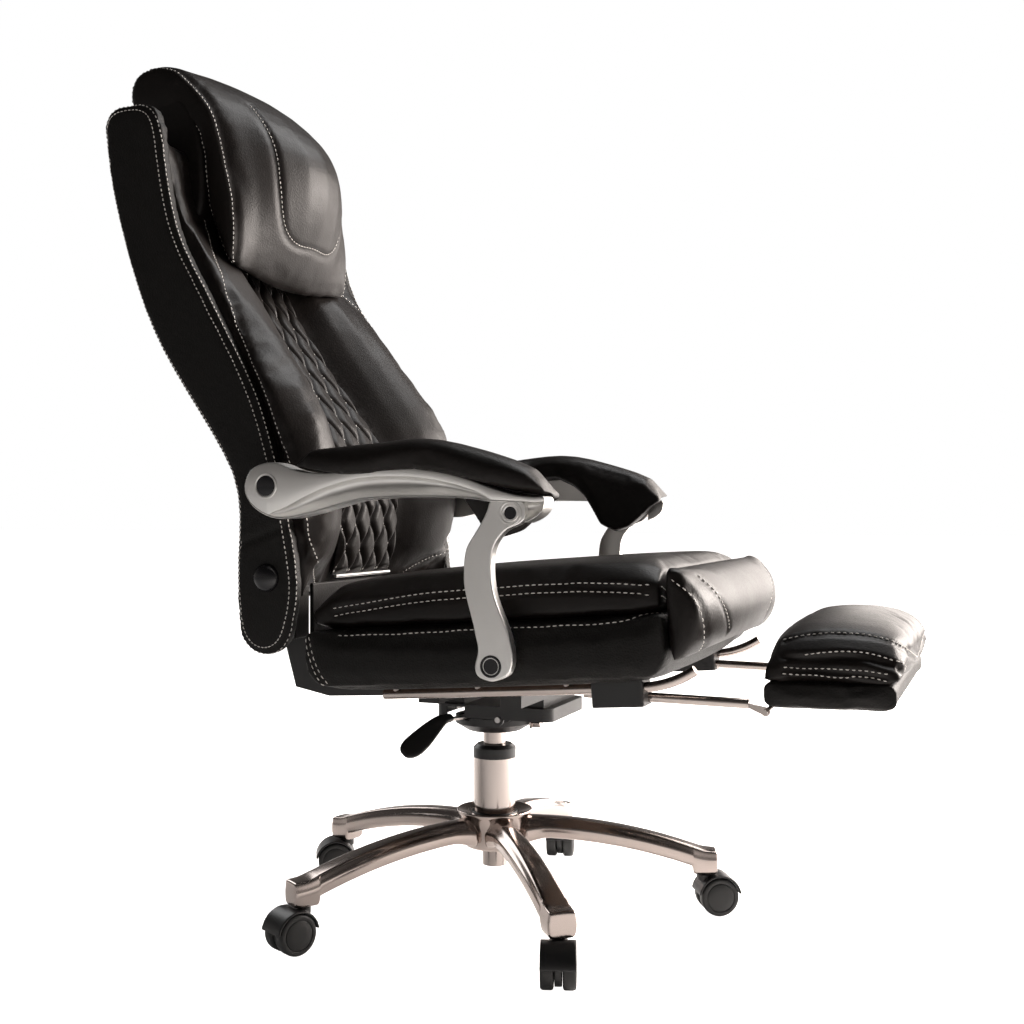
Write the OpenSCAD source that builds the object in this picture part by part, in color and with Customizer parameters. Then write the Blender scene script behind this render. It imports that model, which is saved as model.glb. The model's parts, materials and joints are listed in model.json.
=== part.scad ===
// Reclining office chair with a pull-out footrest.
// X runs across the chair, the sitter faces -Y, Z is up, and the origin is on the floor under the column.

/* [Star base] */
// Distance from the column to each caster stem
base_r = 300; // [270:5:330]
// Radius of the hub
hub_r = 54; // [50:1:58]
// Height of the hub's rim above the floor
hub_top = 148; // [144:1:152]
// Depth of the hub
hub_h = 54; // [50:1:58]
// Width of a leg where it leaves the hub
leg_root_w = 46; // [42:1:48]
// Width of a leg at its caster
leg_tip_w = 32; // [28:1:36]
// Height of a leg's section
leg_h = 29; // [26:1:31]
// How far a leg's middle line drops from the hub to its end
leg_drop = 46; // [42:1:48]
// Radius of the round block at the end of a leg
tip_r = 19; // [18:0.5:21]
// Turn of the first leg from the +X axis
leg_turn = -70.7; // [-78:0.1:-64]

/* [Casters] */
// Radius of a caster wheel
wheel_r = 27; // [25:0.5:28]
// Width of one wheel
wheel_w = 17; // [15:0.5:18]
// Gap between the two wheels of a caster
wheel_gap = 10; // [9:0.5:12]
// Distance from the stem to the axle, along the floor
caster_trail = 18; // [15:0.5:20]
// Radius of the caster's stem
stem_r = 5.5; // [5:0.1:6]
// Radius of the wheels' axle
axle_r = 3; // [2.5:0.1:3.5]

/* [Gas lift] */
// Radius of the chrome tube
tube_r = 30; // [28:0.5:31]
// Height of the tube's upper end
tube_top = 222; // [218:1:225]
// Radius of the piston
piston_r = 16; // [14:0.5:17]
// Height of the black collar on the tube
collar_h = 19; // [17:1:20]

/* [Tilt mechanism] */
// Height of the bowl's underside
bowl_z = 262; // [259:1:264]
// Radius of the bowl
bowl_r = 56; // [54:0.5:57]
// Height of the bowl
bowl_h = 21; // [20:0.5:22]
// Length of the tray under the seat
tray_l = 172; // [168:1:176]
// Width of the tray
tray_w = 146; // [142:1:150]
// Height of the tray
tray_h = 18; // [17:0.5:20]
// Thickness of the tray's sheet
tray_wall = 3; // [2.5:0.1:3.2]
// Radius of the pin that the seat tilts on
tilt_pin_r = 4; // [3.5:0.1:4.5]
// Length of the height lever from the valve to the paddle's end
lever_l = 215; // [200:1:225]

/* [Seat] */
// Width of the seat
seat_w = 500; // [490:1:506]
// Length of the seat from its back edge to the roll
seat_l = 491; // [484:1:498]
// Height of the boxed lower cushion
box_h = 77; // [72:1:79]
// Height of the seat's underside over the column
seat_z = 350; // [347:1:352]
// Slope of the seat, front edge up
seat_slope = 4.3; // [3.5:0.1:5]
// Height of the top cushion above the box, at the middle
crown_h = 68; // [60:1:72]
// Depth of the rounded roll at the front
roll_d = 54; // [50:1:58]
// Thickness of the seat's wooden board
board_t = 12; // [10:0.5:14]

/* [Footrest] */
// How far the footrest's side stands in from the seat's side
rest_side = 43; // [40:1:46]
// Depth of the footrest from back to front
rest_d = 172; // [166:1:178]
// Height of the footrest's box
rest_box_h = 32; // [28:1:35]
// Height of the footrest's cushion
rest_pad_h = 70; // [62:1:74]
// Radius of the chrome rods
rod_r = 6; // [5.5:0.1:6.5]
// Distance from a bent rail in to the straight rod beside it
rod_side = 15; // [14:0.5:16]
// Radius of the bent rails under the seat
rail_r = 6.5; // [6:0.1:7]
// Distance from the seat's side in to a bent rail
rail_side = 48; // [46:0.5:49.5]

/* [Back] */
// Height of the back's top above its hinge
back_rise = 718; // [700:1:730]
// How far the top of the back stands behind its hinge
back_lean = 262; // [252:1:272]
// Depth of the side panels
panel_d = 98; // [94:1:102]
// Width of a side panel
panel_w = 20; // [18:0.5:22]
// Radius of the side panels' round lower end
heel_r = 43; // [40:0.5:45]
// Thickness of the bent board inside the back
back_board_t = 12; // [10:0.5:13]
// How far the side bolsters stand in front of the quilted panel
bolster_proud = 96; // [90:1:102]
// Half width of the quilted panel
quilt_half_w = 93; // [88:1:98]
// Rows of quilting diamonds
quilt_rows = 6; // [4:1:8]
// How far the headrest's side stands in from the back's side
head_side = 78; // [74:1:84]
// Radius of the recline knobs
knob_r = 19; // [17:0.5:21]

/* [Arms] */
// Distance from the column back to the arm's rear pivot
arm_rear_y = 201; // [199:0.5:203]
// Height of the arm's rear pivot
arm_rear_z = 607; // [604:0.5:609]
// Distance from the column to the arm's front pivot, to the rear positive
arm_front_y = -134; // [-136:0.5:-132]
// Height of the arm's front pivot
arm_front_z = 572; // [570:0.5:574]
// Distance from the column to the link's lower pivot, to the rear positive
link_low_y = -109; // [-111:0.5:-107]
// Height of the link's lower pivot
link_low_z = 388; // [386:0.5:390]
// Thickness of the link
link_t = 16; // [14:0.5:17]
// Thickness of the arm's metal shell
arm_t = 32; // [28:0.5:34]
// Height of the arm pad above the shell
arm_pad_h = 38; // [32:1:42]
// Radius of the black caps over the arm pivots
cap_r = 11; // [10:0.5:12]

/* [Hidden] */
$fn = 72;

// Clearances and small sizes that several pieces share
gap = 0.3;
fit = 0.05;
cut = 2;
leg_count = 5;

// Where the parts of the chair meet
fork_clear = 4;
tip_under = wheel_r * 2 + fork_clear;
leg_bite = 14;
leg_root_x = hub_r - leg_bite;
leg_arc_r = (pow(base_r - leg_root_x, 2) + pow(leg_drop, 2)) / (2 * leg_drop);
leg_low = 24;
leg_mid_z = hub_top - leg_low;
leg_end_angle = asin((base_r - leg_root_x) / leg_arc_r);
stub_share = 0.58;
stub_r = tube_r * stub_share;
stub_h = 26;
hub_under = hub_top - hub_h;
piston_in = 16;
piston_top = bowl_z + piston_in;
piston_lift = 32;
piston_under = hub_under + piston_lift;
tray_lift = 25;
tray_under = bowl_z + tray_lift;
tray_front = -112;
tilt_y = -35;
tilt_z = tray_under;
tray_top = tray_under + tray_h;
recline_y = arm_rear_y + link_low_y - arm_front_y;
recline_z = arm_rear_z + link_low_z - arm_front_z;
seat_rear = 168;
seat_join = seat_rear - seat_l;
back_half = seat_w / 2;
panel_x = back_half - panel_w;
head_w = 2 * (back_half - head_side);
rest_w = seat_w - 2 * rest_side;
rail_x = seat_w / 2 - rail_side;
rod_x = rail_x - rod_side;

// Sides of the chair by name
function side_of(name) = name == "left" ? 1 : -1;

// A smooth line through hand-placed points
function blend_point(a, b, c, d, t) =
    (b * 2 + (c - a) * t + (a * 2 - b * 5 + c * 4 - d) * pow(t, 2) + (b * 3 - a - c * 3 + d) * pow(t,
        3)) / 2;
function smooth_line(points, steps) = [
    for (i = [0:len(points) - 2])
        for (k = [0:steps - 1 + (i == len(points) - 2 ? 1 : 0)])
            blend_point(
                points[max(i - 1, 0)], points[i], points[i + 1], points[min(i + 2, len(points) - 1)],
                    k / steps)
];
function smooth_ring(points, steps) = [
    for (i = [0:len(points) - 1])
        for (k = [0:steps - 1])
            blend_point(
                points[(i + len(points) - 1) % len(points)], points[i],
                points[(i + 1) % len(points)], points[(i + 2) % len(points)], k / steps)
];
function scaled(shares, w, h) = [for (p = shares) [p[0] * w, p[1] * h]];
function swapped(points) = [for (p = points) [p[1], p[0]]];
function mix_of(a, b, t) = a + (b - a) * t;
function clamp01(t) = min(max(t, 0), 1);

// The back's rear line, heights against depths behind the hinge
rear_line_shares = [[0.17, 0], [0.19, 0.1], [0.19, 0.23], [0.294, 0.323], [0.716, 0.557], [0.964, 0.816],
    [1.03, 1]];
rear_table = swapped(smooth_line(scaled(rear_line_shares, back_lean, back_rise), 6));
function rear_y(z) = lookup(z, rear_table);
// The front edge of the side panels, the quilted face and the crest of the bolsters
front_edge_shares = [[-0.2, 0.047], [-0.157, 0.174], [0.03, 0.415], [0.316, 0.608], [0.539, 0.765],
    [0.646, 0.999]];
front_table = swapped(smooth_line(scaled(front_edge_shares, back_lean, back_rise), 6));
function front_y(z) = lookup(z, front_table);
quilt_line_shares = [
    [-0.055, 0.06], [-0.109, 0.149], [-0.125, 0.221], [-0.023, 0.346], [0.165, 0.443], [0.366, 0.551],
    [0.587, 0.684], [0.64, 0.78], [0.66, 0.98]];
quilt_table = swapped(smooth_line(scaled(quilt_line_shares, back_lean, back_rise), 6));
function quilt_y(z) = lookup(z, quilt_table);
// How much of the bolsters' full stand shows at a share of the back's height
bolster_stand_shares = [
    [0.04, 0], [0.067, 0.11], [0.12, 0.5], [0.156, 0.53], [0.228, 0.6], [0.283, 0.72], [0.355, 0.8],
    [0.407, 0.955], [0.46, 1], [0.525, 0.905], [0.59, 0.825], [0.657, 0.65], [0.7, 0.54], [0.75, 0.26],
    [0.8, 0.12], [0.86, 0]];
function bolster_stand(z) = bolster_proud * lookup(z / back_rise, bolster_stand_shares);
// Where the bolsters' crest lies between the quilted face and the back's side
bolster_crest_shares = [[0, 0.85], [0.46, 0.85], [0.525, 0.8], [0.59, 0.66], [0.657, 0.5], [0.75, 0.4]];
function bolster_crest(z) = lookup(z / back_rise, bolster_crest_shares);
// Half width of the quilted face at a share of the back's height
quilt_width_shares = [[0.05, 0.96], [0.34, 1], [0.66, 0.76], [0.75, 0.7]];
function quilt_half(z) = quilt_half_w * lookup(z / back_rise, quilt_width_shares);

// A closed pad whose two faces share one border, from a rule that places each point
module soft_pad(across, along, place) {
    row = along + 1;
    face = (across + 1) * row;
    points = [for (s = [1, 0]) for (i = [0:across]) for (j = [0:along]) place(i / across, j / along, s)];
    function id(i, j, s) = (1 - s) * face + i * row + j;
    top = [for (i = [0:across - 1]) for (j = [0:along - 1])
        each [[id(i, j, 1), id(i, j + 1, 1), id(i + 1, j + 1, 1)], [id(i, j, 1), id(i + 1, j + 1, 1),
            id(i + 1, j, 1)]]];
    under = [for (i = [0:across - 1]) for (j = [0:along - 1])
        each [[id(i, j, 0), id(i + 1, j + 1, 0), id(i, j + 1, 0)], [id(i, j, 0), id(i + 1, j, 0), id(i + 1,
            j + 1, 0)]]];
    near = [for (i = [0:across - 1])
        each [[id(i, 0, 1), id(i + 1, 0, 1), id(i + 1, 0, 0)], [id(i, 0, 1), id(i + 1, 0, 0), id(i, 0, 0)]]];
    far = [for (i = [0:across - 1])
        each [[id(i, along, 1), id(i + 1, along, 0), id(i + 1, along, 1)],
            [id(i, along, 1), id(i, along, 0), id(i + 1, along, 0)]]];
    left = [for (j = [0:along - 1])
        each [[id(0, j, 1), id(0, j + 1, 0), id(0, j + 1, 1)], [id(0, j, 1), id(0, j, 0), id(0, j + 1, 0)]]];
    right = [for (j = [0:along - 1])
        each [[id(across, j, 1), id(across, j + 1, 1), id(across, j + 1, 0)],
            [id(across, j, 1), id(across, j + 1, 0), id(across, j, 0)]]];
    polyhedron(points, concat(top, under, near, far, left, right), convexity = 6);
}

// A closed loft through rings of points
module loft(rings) {
    n = len(rings[0]);
    last = len(rings) - 1;
    points = [for (r = rings) each r];
    walls = [for (k = [0:last - 1]) for (i = [0:n - 1])
        each [[k * n + i, k * n + (i + 1) % n, (k + 1) * n + (i + 1) % n],
            [k * n + i, (k + 1) * n + (i + 1) % n, (k + 1) * n + i]]];
    start = [for (i = [1:n - 2]) [0, i + 1, i]];
    end = [for (i = [1:n - 2]) [last * n, last * n + i, last * n + i + 1]];
    polyhedron(points, concat(walls, start, end), convexity = 6);
}

// A rectangle with round corners, around its centre
module rounded_rect(w, d, r) {
    square([w - 2 * r, d], center = true);
    square([w, d - 2 * r], center = true);
    for (x = [-1, 1])
        for (y = [-1, 1])
            translate([x * (w / 2 - r), y * (d / 2 - r)])
                circle(r);
}

// A side view drawn in Y and Z, made into a slab that runs from x0 to x0 + t
module side_slab(x0, t)
    translate([x0, 0, 0])
        rotate([90, 0, 90])
            linear_extrude(t)
                children();

// A bar along X, centred on a point in Y and Z
module cross_bar(x0, x1, y, z, r)
    translate([x0, y, z])
        rotate([0, 90, 0])
            cylinder(r = r, h = x1 - x0);

module at_seat()
    translate([0, 0, seat_z])
        rotate([-seat_slope, 0, 0])
            children();

module at_back()
    translate([0, recline_y, recline_z])
        children();

module each_leg()
    for (i = [0:leg_count - 1])
        rotate([0, 0, leg_turn + i * 360 / leg_count])
            children();

// Star base
ridge_share = 0.3;
leg_foot_share = 0.78;
module leg_section()
    polygon([
        [-leg_h / 2, -leg_root_w / 2 * leg_foot_share],
        [leg_h / 2 * ridge_share, -leg_root_w / 2],
        [leg_h / 2, -leg_root_w / 2 * ridge_share],
        [leg_h / 2, leg_root_w / 2 * ridge_share],
        [leg_h / 2 * ridge_share, leg_root_w / 2],
        [-leg_h / 2, leg_root_w / 2 * leg_foot_share]
    ]);

module leg() {
    intersection() {
        translate([leg_root_x, 0, leg_mid_z - leg_arc_r])
            rotate([90, 0, 0])
                rotate([0, 0, 90 - leg_end_angle])
                    rotate_extrude(angle = leg_end_angle + 1, $fn = 360)
                        translate([leg_arc_r, 0])
                            leg_section();
        linear_extrude(hub_top)
            polygon([
                [leg_root_x - cut, -leg_root_w / 2 - cut], [base_r, -leg_tip_w / 2],
                [base_r, leg_tip_w / 2], [leg_root_x - cut, leg_root_w / 2 + cut]
            ]);
    }
    translate([base_r, 0, tip_under])
        cylinder(r = tip_r, h = tip_top - tip_under - tip_bevel);
    translate([base_r, 0, tip_top - tip_bevel])
        cylinder(r1 = tip_r, r2 = tip_r - tip_bevel, h = tip_bevel);
}

tip_bevel = 3;
tip_top = leg_mid_z - leg_drop + leg_h / 2;
hub_foot_share = 0.78;
hub_taper = 4;
rim_h = 6;
rim_w = 3;
dish_floor = 1;
dish_gap = 4;
module star_base() color([0.62, 0.58, 0.56])
    difference() {
        union() {
            translate([0, 0, hub_under])
                cylinder(r1 = hub_r * hub_foot_share, r2 = hub_r - hub_taper, h = hub_h - rim_h);
            translate([0, 0, hub_top - rim_h])
                cylinder(r1 = hub_r - hub_taper, r2 = hub_r, h = rim_h);
            each_leg()
                leg();
        }
        translate([0, 0, hub_under + rim_h])
            cylinder(r = tube_r + fit, h = hub_h);
        translate([0, 0, hub_under - cut])
            cylinder(r = stub_r + fit, h = hub_h);
        translate([0, 0, hub_top - rim_h + dish_floor])
            cylinder(r1 = tube_r + dish_gap, r2 = hub_r - rim_w, h = rim_h);
        each_leg()
            translate([base_r, 0, tip_under - cut])
                cylinder(r = stem_r + fit, h = stem_in + cut + gap);
    }

// Gas lift
tube_wall = 3;
module gas_tube() color([0.72, 0.68, 0.66])
    difference() {
        union() {
            translate([0, 0, hub_under + rim_h])
                cylinder(r = tube_r, h = tube_top - hub_under - rim_h);
            translate([0, 0, hub_under - stub_h])
                cylinder(r = stub_r, h = stub_h + rim_h + cut);
        }
        translate([0, 0, hub_under + rim_h + tube_wall])
            cylinder(r = tube_r - tube_wall, h = tube_top);
    }

collar_in = 20;
collar_lip = 0.5;
collar_bevel = 5;
module tube_collar() color([0.05, 0.05, 0.05])
    difference() {
        union() {
            translate([0, 0, tube_top])
                cylinder(r = tube_r + collar_lip, h = collar_h - collar_bevel);
            translate([0, 0, tube_top + collar_h - collar_bevel])
                cylinder(r1 = tube_r + collar_lip, r2 = tube_r - collar_bevel, h = collar_bevel);
            translate([0, 0, tube_top - collar_in])
                cylinder(r = tube_r - tube_wall, h = collar_in + collar_lip);
        }
        translate([0, 0, tube_top - collar_in - cut])
            cylinder(r = piston_r + fit, h = collar_in + collar_h + 2 * cut);
    }

valve_r = 3;
valve_h = 15;
valve_out = 4;
valve_play = 5;
module piston_rod() color([0.75, 0.72, 0.7])
    difference() {
        translate([0, 0, piston_under])
            cylinder(r = piston_r, h = piston_top - piston_under);
        translate([0, 0, piston_top - valve_h - valve_play])
            cylinder(r = valve_r + fit, h = valve_h + valve_play + cut);
    }

module valve_pin() color([0.3, 0.3, 0.32])
    translate([0, 0, piston_top - valve_h + valve_out])
        cylinder(r = valve_r, h = valve_h);

// Tilt mechanism
lever_r = 3;
lever_rod_z = piston_top + valve_out + gap + lever_r;
lever_aim = 158;
pivot_boss_r = 8;
boss_len = 96;
bowl_wall = 4;
bowl_foot_share = 0.7;
bowl_floor_share = 0.62;
socket_wall = 7;
socket_short = 1;
slot_side = 2;
slot_under = 3;
screw_z = 12;
screw_l = 9;
screw_room = 3;
module mechanism_bowl() color([0.05, 0.05, 0.05])
    difference() {
        union() {
            difference() {
                translate([0, 0, bowl_z]) {
                    cylinder(r1 = bowl_r * bowl_foot_share, r2 = bowl_r, h = bowl_h / 2);
                    translate([0, 0, bowl_h / 2])
                        cylinder(r = bowl_r, h = bowl_h / 2);
                }
                translate([0, 0, bowl_z + bowl_wall])
                    cylinder(r1 = bowl_r * bowl_floor_share, r2 = bowl_r - bowl_wall, h = bowl_h / 2);
                translate([0, 0, bowl_z + bowl_wall + bowl_h / 2])
                    cylinder(r = bowl_r - bowl_wall, h = bowl_h);
            }
            translate([0, 0, bowl_z])
                cylinder(r = piston_r + socket_wall, h = piston_in - socket_short);
            cross_bar(-boss_len / 2, boss_len / 2, tilt_y, tilt_z, pivot_boss_r);
        }
        translate([0, 0, bowl_z - cut])
            cylinder(r = piston_r + fit, h = bowl_h + cut);
        cross_bar(-boss_len, boss_len, tilt_y, tilt_z, tilt_pin_r + fit);
        rotate([0, 0, lever_aim])
            translate([0, -lever_r - slot_side, lever_rod_z - lever_r - slot_under])
                cube([bowl_r + cut, 2 * (lever_r + slot_side), bowl_h]);
        translate([0, -bowl_r + screw_l + screw_room, bowl_z + screw_z])
            rotate([90, 0, 0])
                cylinder(r = screw_r + fit, h = screw_l + 2 * screw_room);
    }

screw_r = 4;
screw_head_r = 9;
screw_head_h = 12;
washer_t = 3;
washer_out = 2;
module tension_screw() color([0.72, 0.66, 0.64])
    translate([0, -bowl_r - gap, bowl_z + screw_z])
        rotate([90, 0, 0]) {
            cylinder(r = screw_head_r, h = washer_t);
            translate([0, 0, washer_t])
                cylinder(r = screw_head_r - washer_out, h = screw_head_h, $fn = 6);
            translate([0, 0, -screw_l])
                cylinder(r = screw_r, h = screw_l + washer_t);
        }

rod_out = 92;
module lever_rod() color([0.3, 0.3, 0.3])
    translate([0, 0, lever_rod_z])
        rotate([0, 0, lever_aim])
            rotate([0, 90, 0])
                cylinder(r = lever_r, h = rod_out);

paddle_w = 30;
paddle_t = 9;
paddle_drop = 26;
paddle_turn = -6;
paddle_side = -4;
paddle_neck = 3;
paddle_in = 84;
paddle_bend = 38;
paddle_root_share = 0.75;
paddle_bend_share = 0.3;
paddle_fn = 16;
module lever_paddle() color([0.05, 0.05, 0.05])
    translate([0, 0, lever_rod_z])
        rotate([0, 0, lever_aim])
            difference() {
                union() {
                    hull() {
                        translate([paddle_in, 0, 0])
                            sphere(r = paddle_t * paddle_root_share, $fn = paddle_fn);
                        translate([paddle_in + paddle_bend, paddle_side, -paddle_drop * paddle_bend_share])
                            sphere(r = paddle_t / 2, $fn = paddle_fn);
                    }
                    hull() {
                        for (s = [-1, 1])
                            translate([paddle_in + paddle_bend, paddle_side + s * paddle_neck,
                                -paddle_drop * paddle_bend_share])
                                sphere(r = paddle_t / 2, $fn = paddle_fn);
                        for (s = [-1, 1])
                            translate([lever_l - paddle_t, paddle_turn + s * (paddle_w - paddle_t) / 2,
                                -paddle_drop])
                                sphere(r = paddle_t / 2, $fn = paddle_fn);
                    }
                }
                rotate([0, 90, 0])
                    cylinder(r = lever_r + gap, h = rod_out + gap);
            }

pin_out = 3;
module tilt_pin() color([0.6, 0.6, 0.6])
    cross_bar(-tray_w / 2 - pin_out, tray_w / 2 + pin_out, tilt_y, tilt_z, tilt_pin_r);

bolt_r = 4;
bolt_x = 50;
beam_y = [-84, 34];
beam_d = 30;
beam_in = 100;
beam_l = seat_w - 2 * beam_in;
tray_corner_r = 14;
tray_boss = 14;
lever_room = 26;
module seat_tray() color([0.06, 0.06, 0.06])
    difference() {
        union() {
            translate([0, tray_front + tray_l / 2, tray_under])
                linear_extrude(tray_h)
                    rounded_rect(tray_w, tray_l, tray_corner_r);
            cross_bar(-tray_w / 2, -tray_w / 2 + tray_boss, tilt_y, tilt_z, pivot_boss_r);
            cross_bar(tray_w / 2 - tray_boss, tray_w / 2, tilt_y, tilt_z, pivot_boss_r);
        }
        translate([0, tray_front + tray_l / 2, tray_under - pivot_boss_r - cut])
            linear_extrude(tray_h + pivot_boss_r + cut - tray_wall)
                rounded_rect(tray_w - 2 * tray_wall, tray_l - 2 * tray_wall, tray_corner_r - tray_wall);
        cross_bar(-tray_w, tray_w, tilt_y, tilt_z, tilt_pin_r + fit);
        rotate([0, 0, lever_aim])
            translate([bowl_r, -lever_room / 2, tray_under - cut])
                cube([tray_w / 2, lever_room, tray_h + cut - tray_wall]);
        for (x = [-1, 1])
            for (y = beam_y)
                translate([x * bolt_x, y, tray_top - tray_wall - cut])
                    cylinder(r = bolt_r + fit, h = tray_wall + 2 * cut);
    }

beam_step = 12;
beam_foot = 130;
module beam_side(y, z)
    polygon([
        [y - beam_d / 2, z], [y + beam_d / 2, z],
        [y + beam_d / 2, under_seat(y + beam_d / 2)], [y - beam_d / 2, under_seat(y - beam_d / 2)]
    ]);

module seat_beams() color([0.1, 0.1, 0.1])
    difference() {
        for (y = beam_y) {
            side_slab(-beam_l / 2, beam_l)
                beam_side(y, tray_top + beam_step);
            side_slab(-beam_foot / 2, beam_foot)
                beam_side(y, tray_top);
        }
        for (x = [-1, 1])
            for (y = beam_y)
                translate([x * bolt_x, y, tray_top - cut])
                    cylinder(r = bolt_r + fit, h = bolt_in + cut + gap);
    }

bolt_in = 24;
bolt_head_h = 5;
bolt_head_share = 1.7;
module tray_bolts() color([0.5, 0.5, 0.5])
    for (x = [-1, 1])
        for (y = beam_y)
            translate([x * bolt_x, y, tray_top - tray_wall]) {
                cylinder(r = bolt_r, h = bolt_in + tray_wall);
                translate([0, 0, -bolt_head_h])
                    cylinder(r = bolt_r * bolt_head_share, h = bolt_head_h, $fn = 6);
            }

// Seat, in its own sloping frame
board_side = 30;
board_front_in = 50;
board_rear_in = 58;
board_w = seat_w - 2 * board_side;
board_front = seat_join + board_front_in;
board_rear = seat_rear - board_rear_in;
module seat_board() color([0.6, 0.45, 0.3])
    at_seat()
        translate([-board_w / 2, board_front, 0])
            cube([board_w, board_rear - board_front, board_t]);

box_heel_r = 36;
box_top_r = 12;
box_nose_r = 30;
module seat_box() color([0.06, 0.05, 0.05])
    at_seat()
        difference() {
            side_slab(-seat_w / 2, seat_w) {
                translate([seat_join + box_nose_r, 0])
                    square([seat_l - box_heel_r - box_nose_r, box_h]);
                translate([seat_join + box_nose_r, box_nose_r])
                    circle(box_nose_r);
                translate([seat_rear - box_heel_r, box_heel_r])
                    circle(box_heel_r);
                translate([seat_rear - box_heel_r, box_heel_r])
                    square([box_heel_r, box_h - box_heel_r - box_top_r]);
                translate([seat_join, box_heel_r])
                    square([seat_l - box_top_r, box_h - box_heel_r]);
                translate([seat_rear - box_top_r, box_h - box_top_r])
                    circle(box_top_r);
            }
            translate([-board_w / 2 - gap, board_front - gap, -cut])
                cube([board_w + 2 * gap, board_rear - board_front + 2 * gap, board_t + gap + cut]);
            for (s = [-1, 1])
                cross_bar(s > 0 ? seat_w / 2 - stud_in : -seat_w / 2 - cut,
                    s > 0 ? seat_w / 2 + cut : -seat_w / 2 + stud_in,
                    link_seat_y, link_seat_z, stud_r + gap);
        }

// The link's lower pivot in the seat's sloping frame
link_seat_y = link_low_y * cos(seat_slope) - (link_low_z - seat_z) * sin(seat_slope);
link_seat_z = link_low_y * sin(seat_slope) + (link_low_z - seat_z) * cos(seat_slope);

// Edge fullness of a pad: 1 in the middle, 0 at the border
function fullness(t, power) = pow(1 - pow(abs(2 * t - 1), power), 1 / power);
pad_inset = 6;
pinch_share = 0.03;
seat_edge_share = 0.62;
seat_end_share = 0.55;
seat_front_share = 0.86;
module seat_cushion() color([0.07, 0.055, 0.05])
    at_seat()
        soft_pad(16, 14, function(u, v, s) let (
            side = fullness(u, 4),
            ends = mix_of(v < 0.5 ? seat_end_share : seat_front_share, 1, fullness(v, 3)),
            w = (seat_w / 2 - pad_inset) * (1 - pinch_share * pow(abs(2 * v - 1), 4)),
            y = mix_of(seat_rear - pad_inset, seat_join + gap, v),
            z = s == 1 ? crown_h * mix_of(seat_edge_share, 1, side) * ends : gap
        ) [(1 - 2 * u) * w, y, box_h + z]);

// Front roll: its side view against its depth and the seat's whole height
roll_shares = [
    [0, 0.12], [0.15, 0.13], [0.42, 0.17], [0.79, 0.28], [0.98, 0.46], [0.945, 0.66], [0.56, 0.86],
    [0.2, 0.925], [0, 0.94]];
roll_over = 3;
roll_h = box_h + crown_h + roll_over;
roll_line = smooth_line(scaled(roll_shares, -roll_d, roll_h), 3);
roll_ends_shares = [[-1, 0.86], [-0.985, 0.94], [-0.93, 0.985], [-0.75, 1], [-0.3, 1.01], [0.3, 1.01],
    [0.75, 1],
    [0.93, 0.985], [0.985, 0.94], [1, 0.86]];
module seat_roll() color([0.07, 0.055, 0.05])
    at_seat()
        loft([for (e = roll_ends_shares) [for (p = roll_line)
            [e[0] * seat_w / 2, seat_join - gap + p[0] * e[1], roll_h / 2 + (p[1] - roll_h / 2) * e[1]]]]);

// Rails, guide blocks and brackets under the seat
rail_drop = 11;
rail_rear = 74;
rail_bend_in = 49;
rail_bend_y = seat_join + rail_bend_in;
rail_bend_r = 140;
rail_bend = 30;
rail_lap = 2;
bend_thin = 0.2;
spacer_r = 5;
spacer_y = [56, -60, -180];
module footrest_rails() color([0.74, 0.71, 0.7])
    at_seat()
        for (s = [-1, 1])
            translate([s * rail_x, 0, -rail_drop]) {
                translate([0, rail_rear, 0])
                    rotate([90, 0, 0])
                        cylinder(r = rail_r, h = rail_rear - rail_bend_y);
                translate([0, rail_bend_y, rail_bend_r])
                    rotate([0, 90, 0])
                        rotate([0, 0, -rail_bend])
                            rotate_extrude(angle = rail_bend + rail_lap, $fn = 96)
                                translate([rail_bend_r, 0])
                                    circle(rail_r - bend_thin);
                for (y = spacer_y)
                    translate([0, y, 0])
                        cylinder(r = spacer_r, h = rail_drop - gap);
            }

// Footrest rods, straight and almost level
rod_slope = 0.7;
rod_reach = 81;
rod_front_y = seat_join - rod_reach;
rod_front_z = 345;
rod_l = 206;
rest_reach = 101;
rest_axle_y = seat_join - rest_reach;
rest_axle_z = 336.5;
block_in = 76;
block_y = seat_join + block_in;
block_l = 66;
block_w = 42;
block_h = 33;
block_corner_r = 5;
module along_rod()
    translate([0, rod_front_y, rod_front_z])
        rotate([rod_slope, 0, 0])
            children();

module guide_blocks() color([0.05, 0.05, 0.05])
    difference() {
        for (s = [-1, 1])
            at_seat()
                translate([s * (rail_x + rod_x) / 2, block_y, -block_h])
                    linear_extrude(block_h - gap)
                        rounded_rect(block_w, block_l, block_corner_r);
        for (s = [-1, 1]) {
            at_seat()
                translate([s * rail_x, block_y + block_l, -rail_drop])
                    rotate([90, 0, 0])
                        cylinder(r = rail_r + fit, h = 2 * block_l);
            along_rod()
                translate([s * rod_x, 0, 0])
                    rotate([-90, 0, 0])
                        cylinder(r = rod_r + fit, h = rod_l + block_l);
        }
    }

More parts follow.
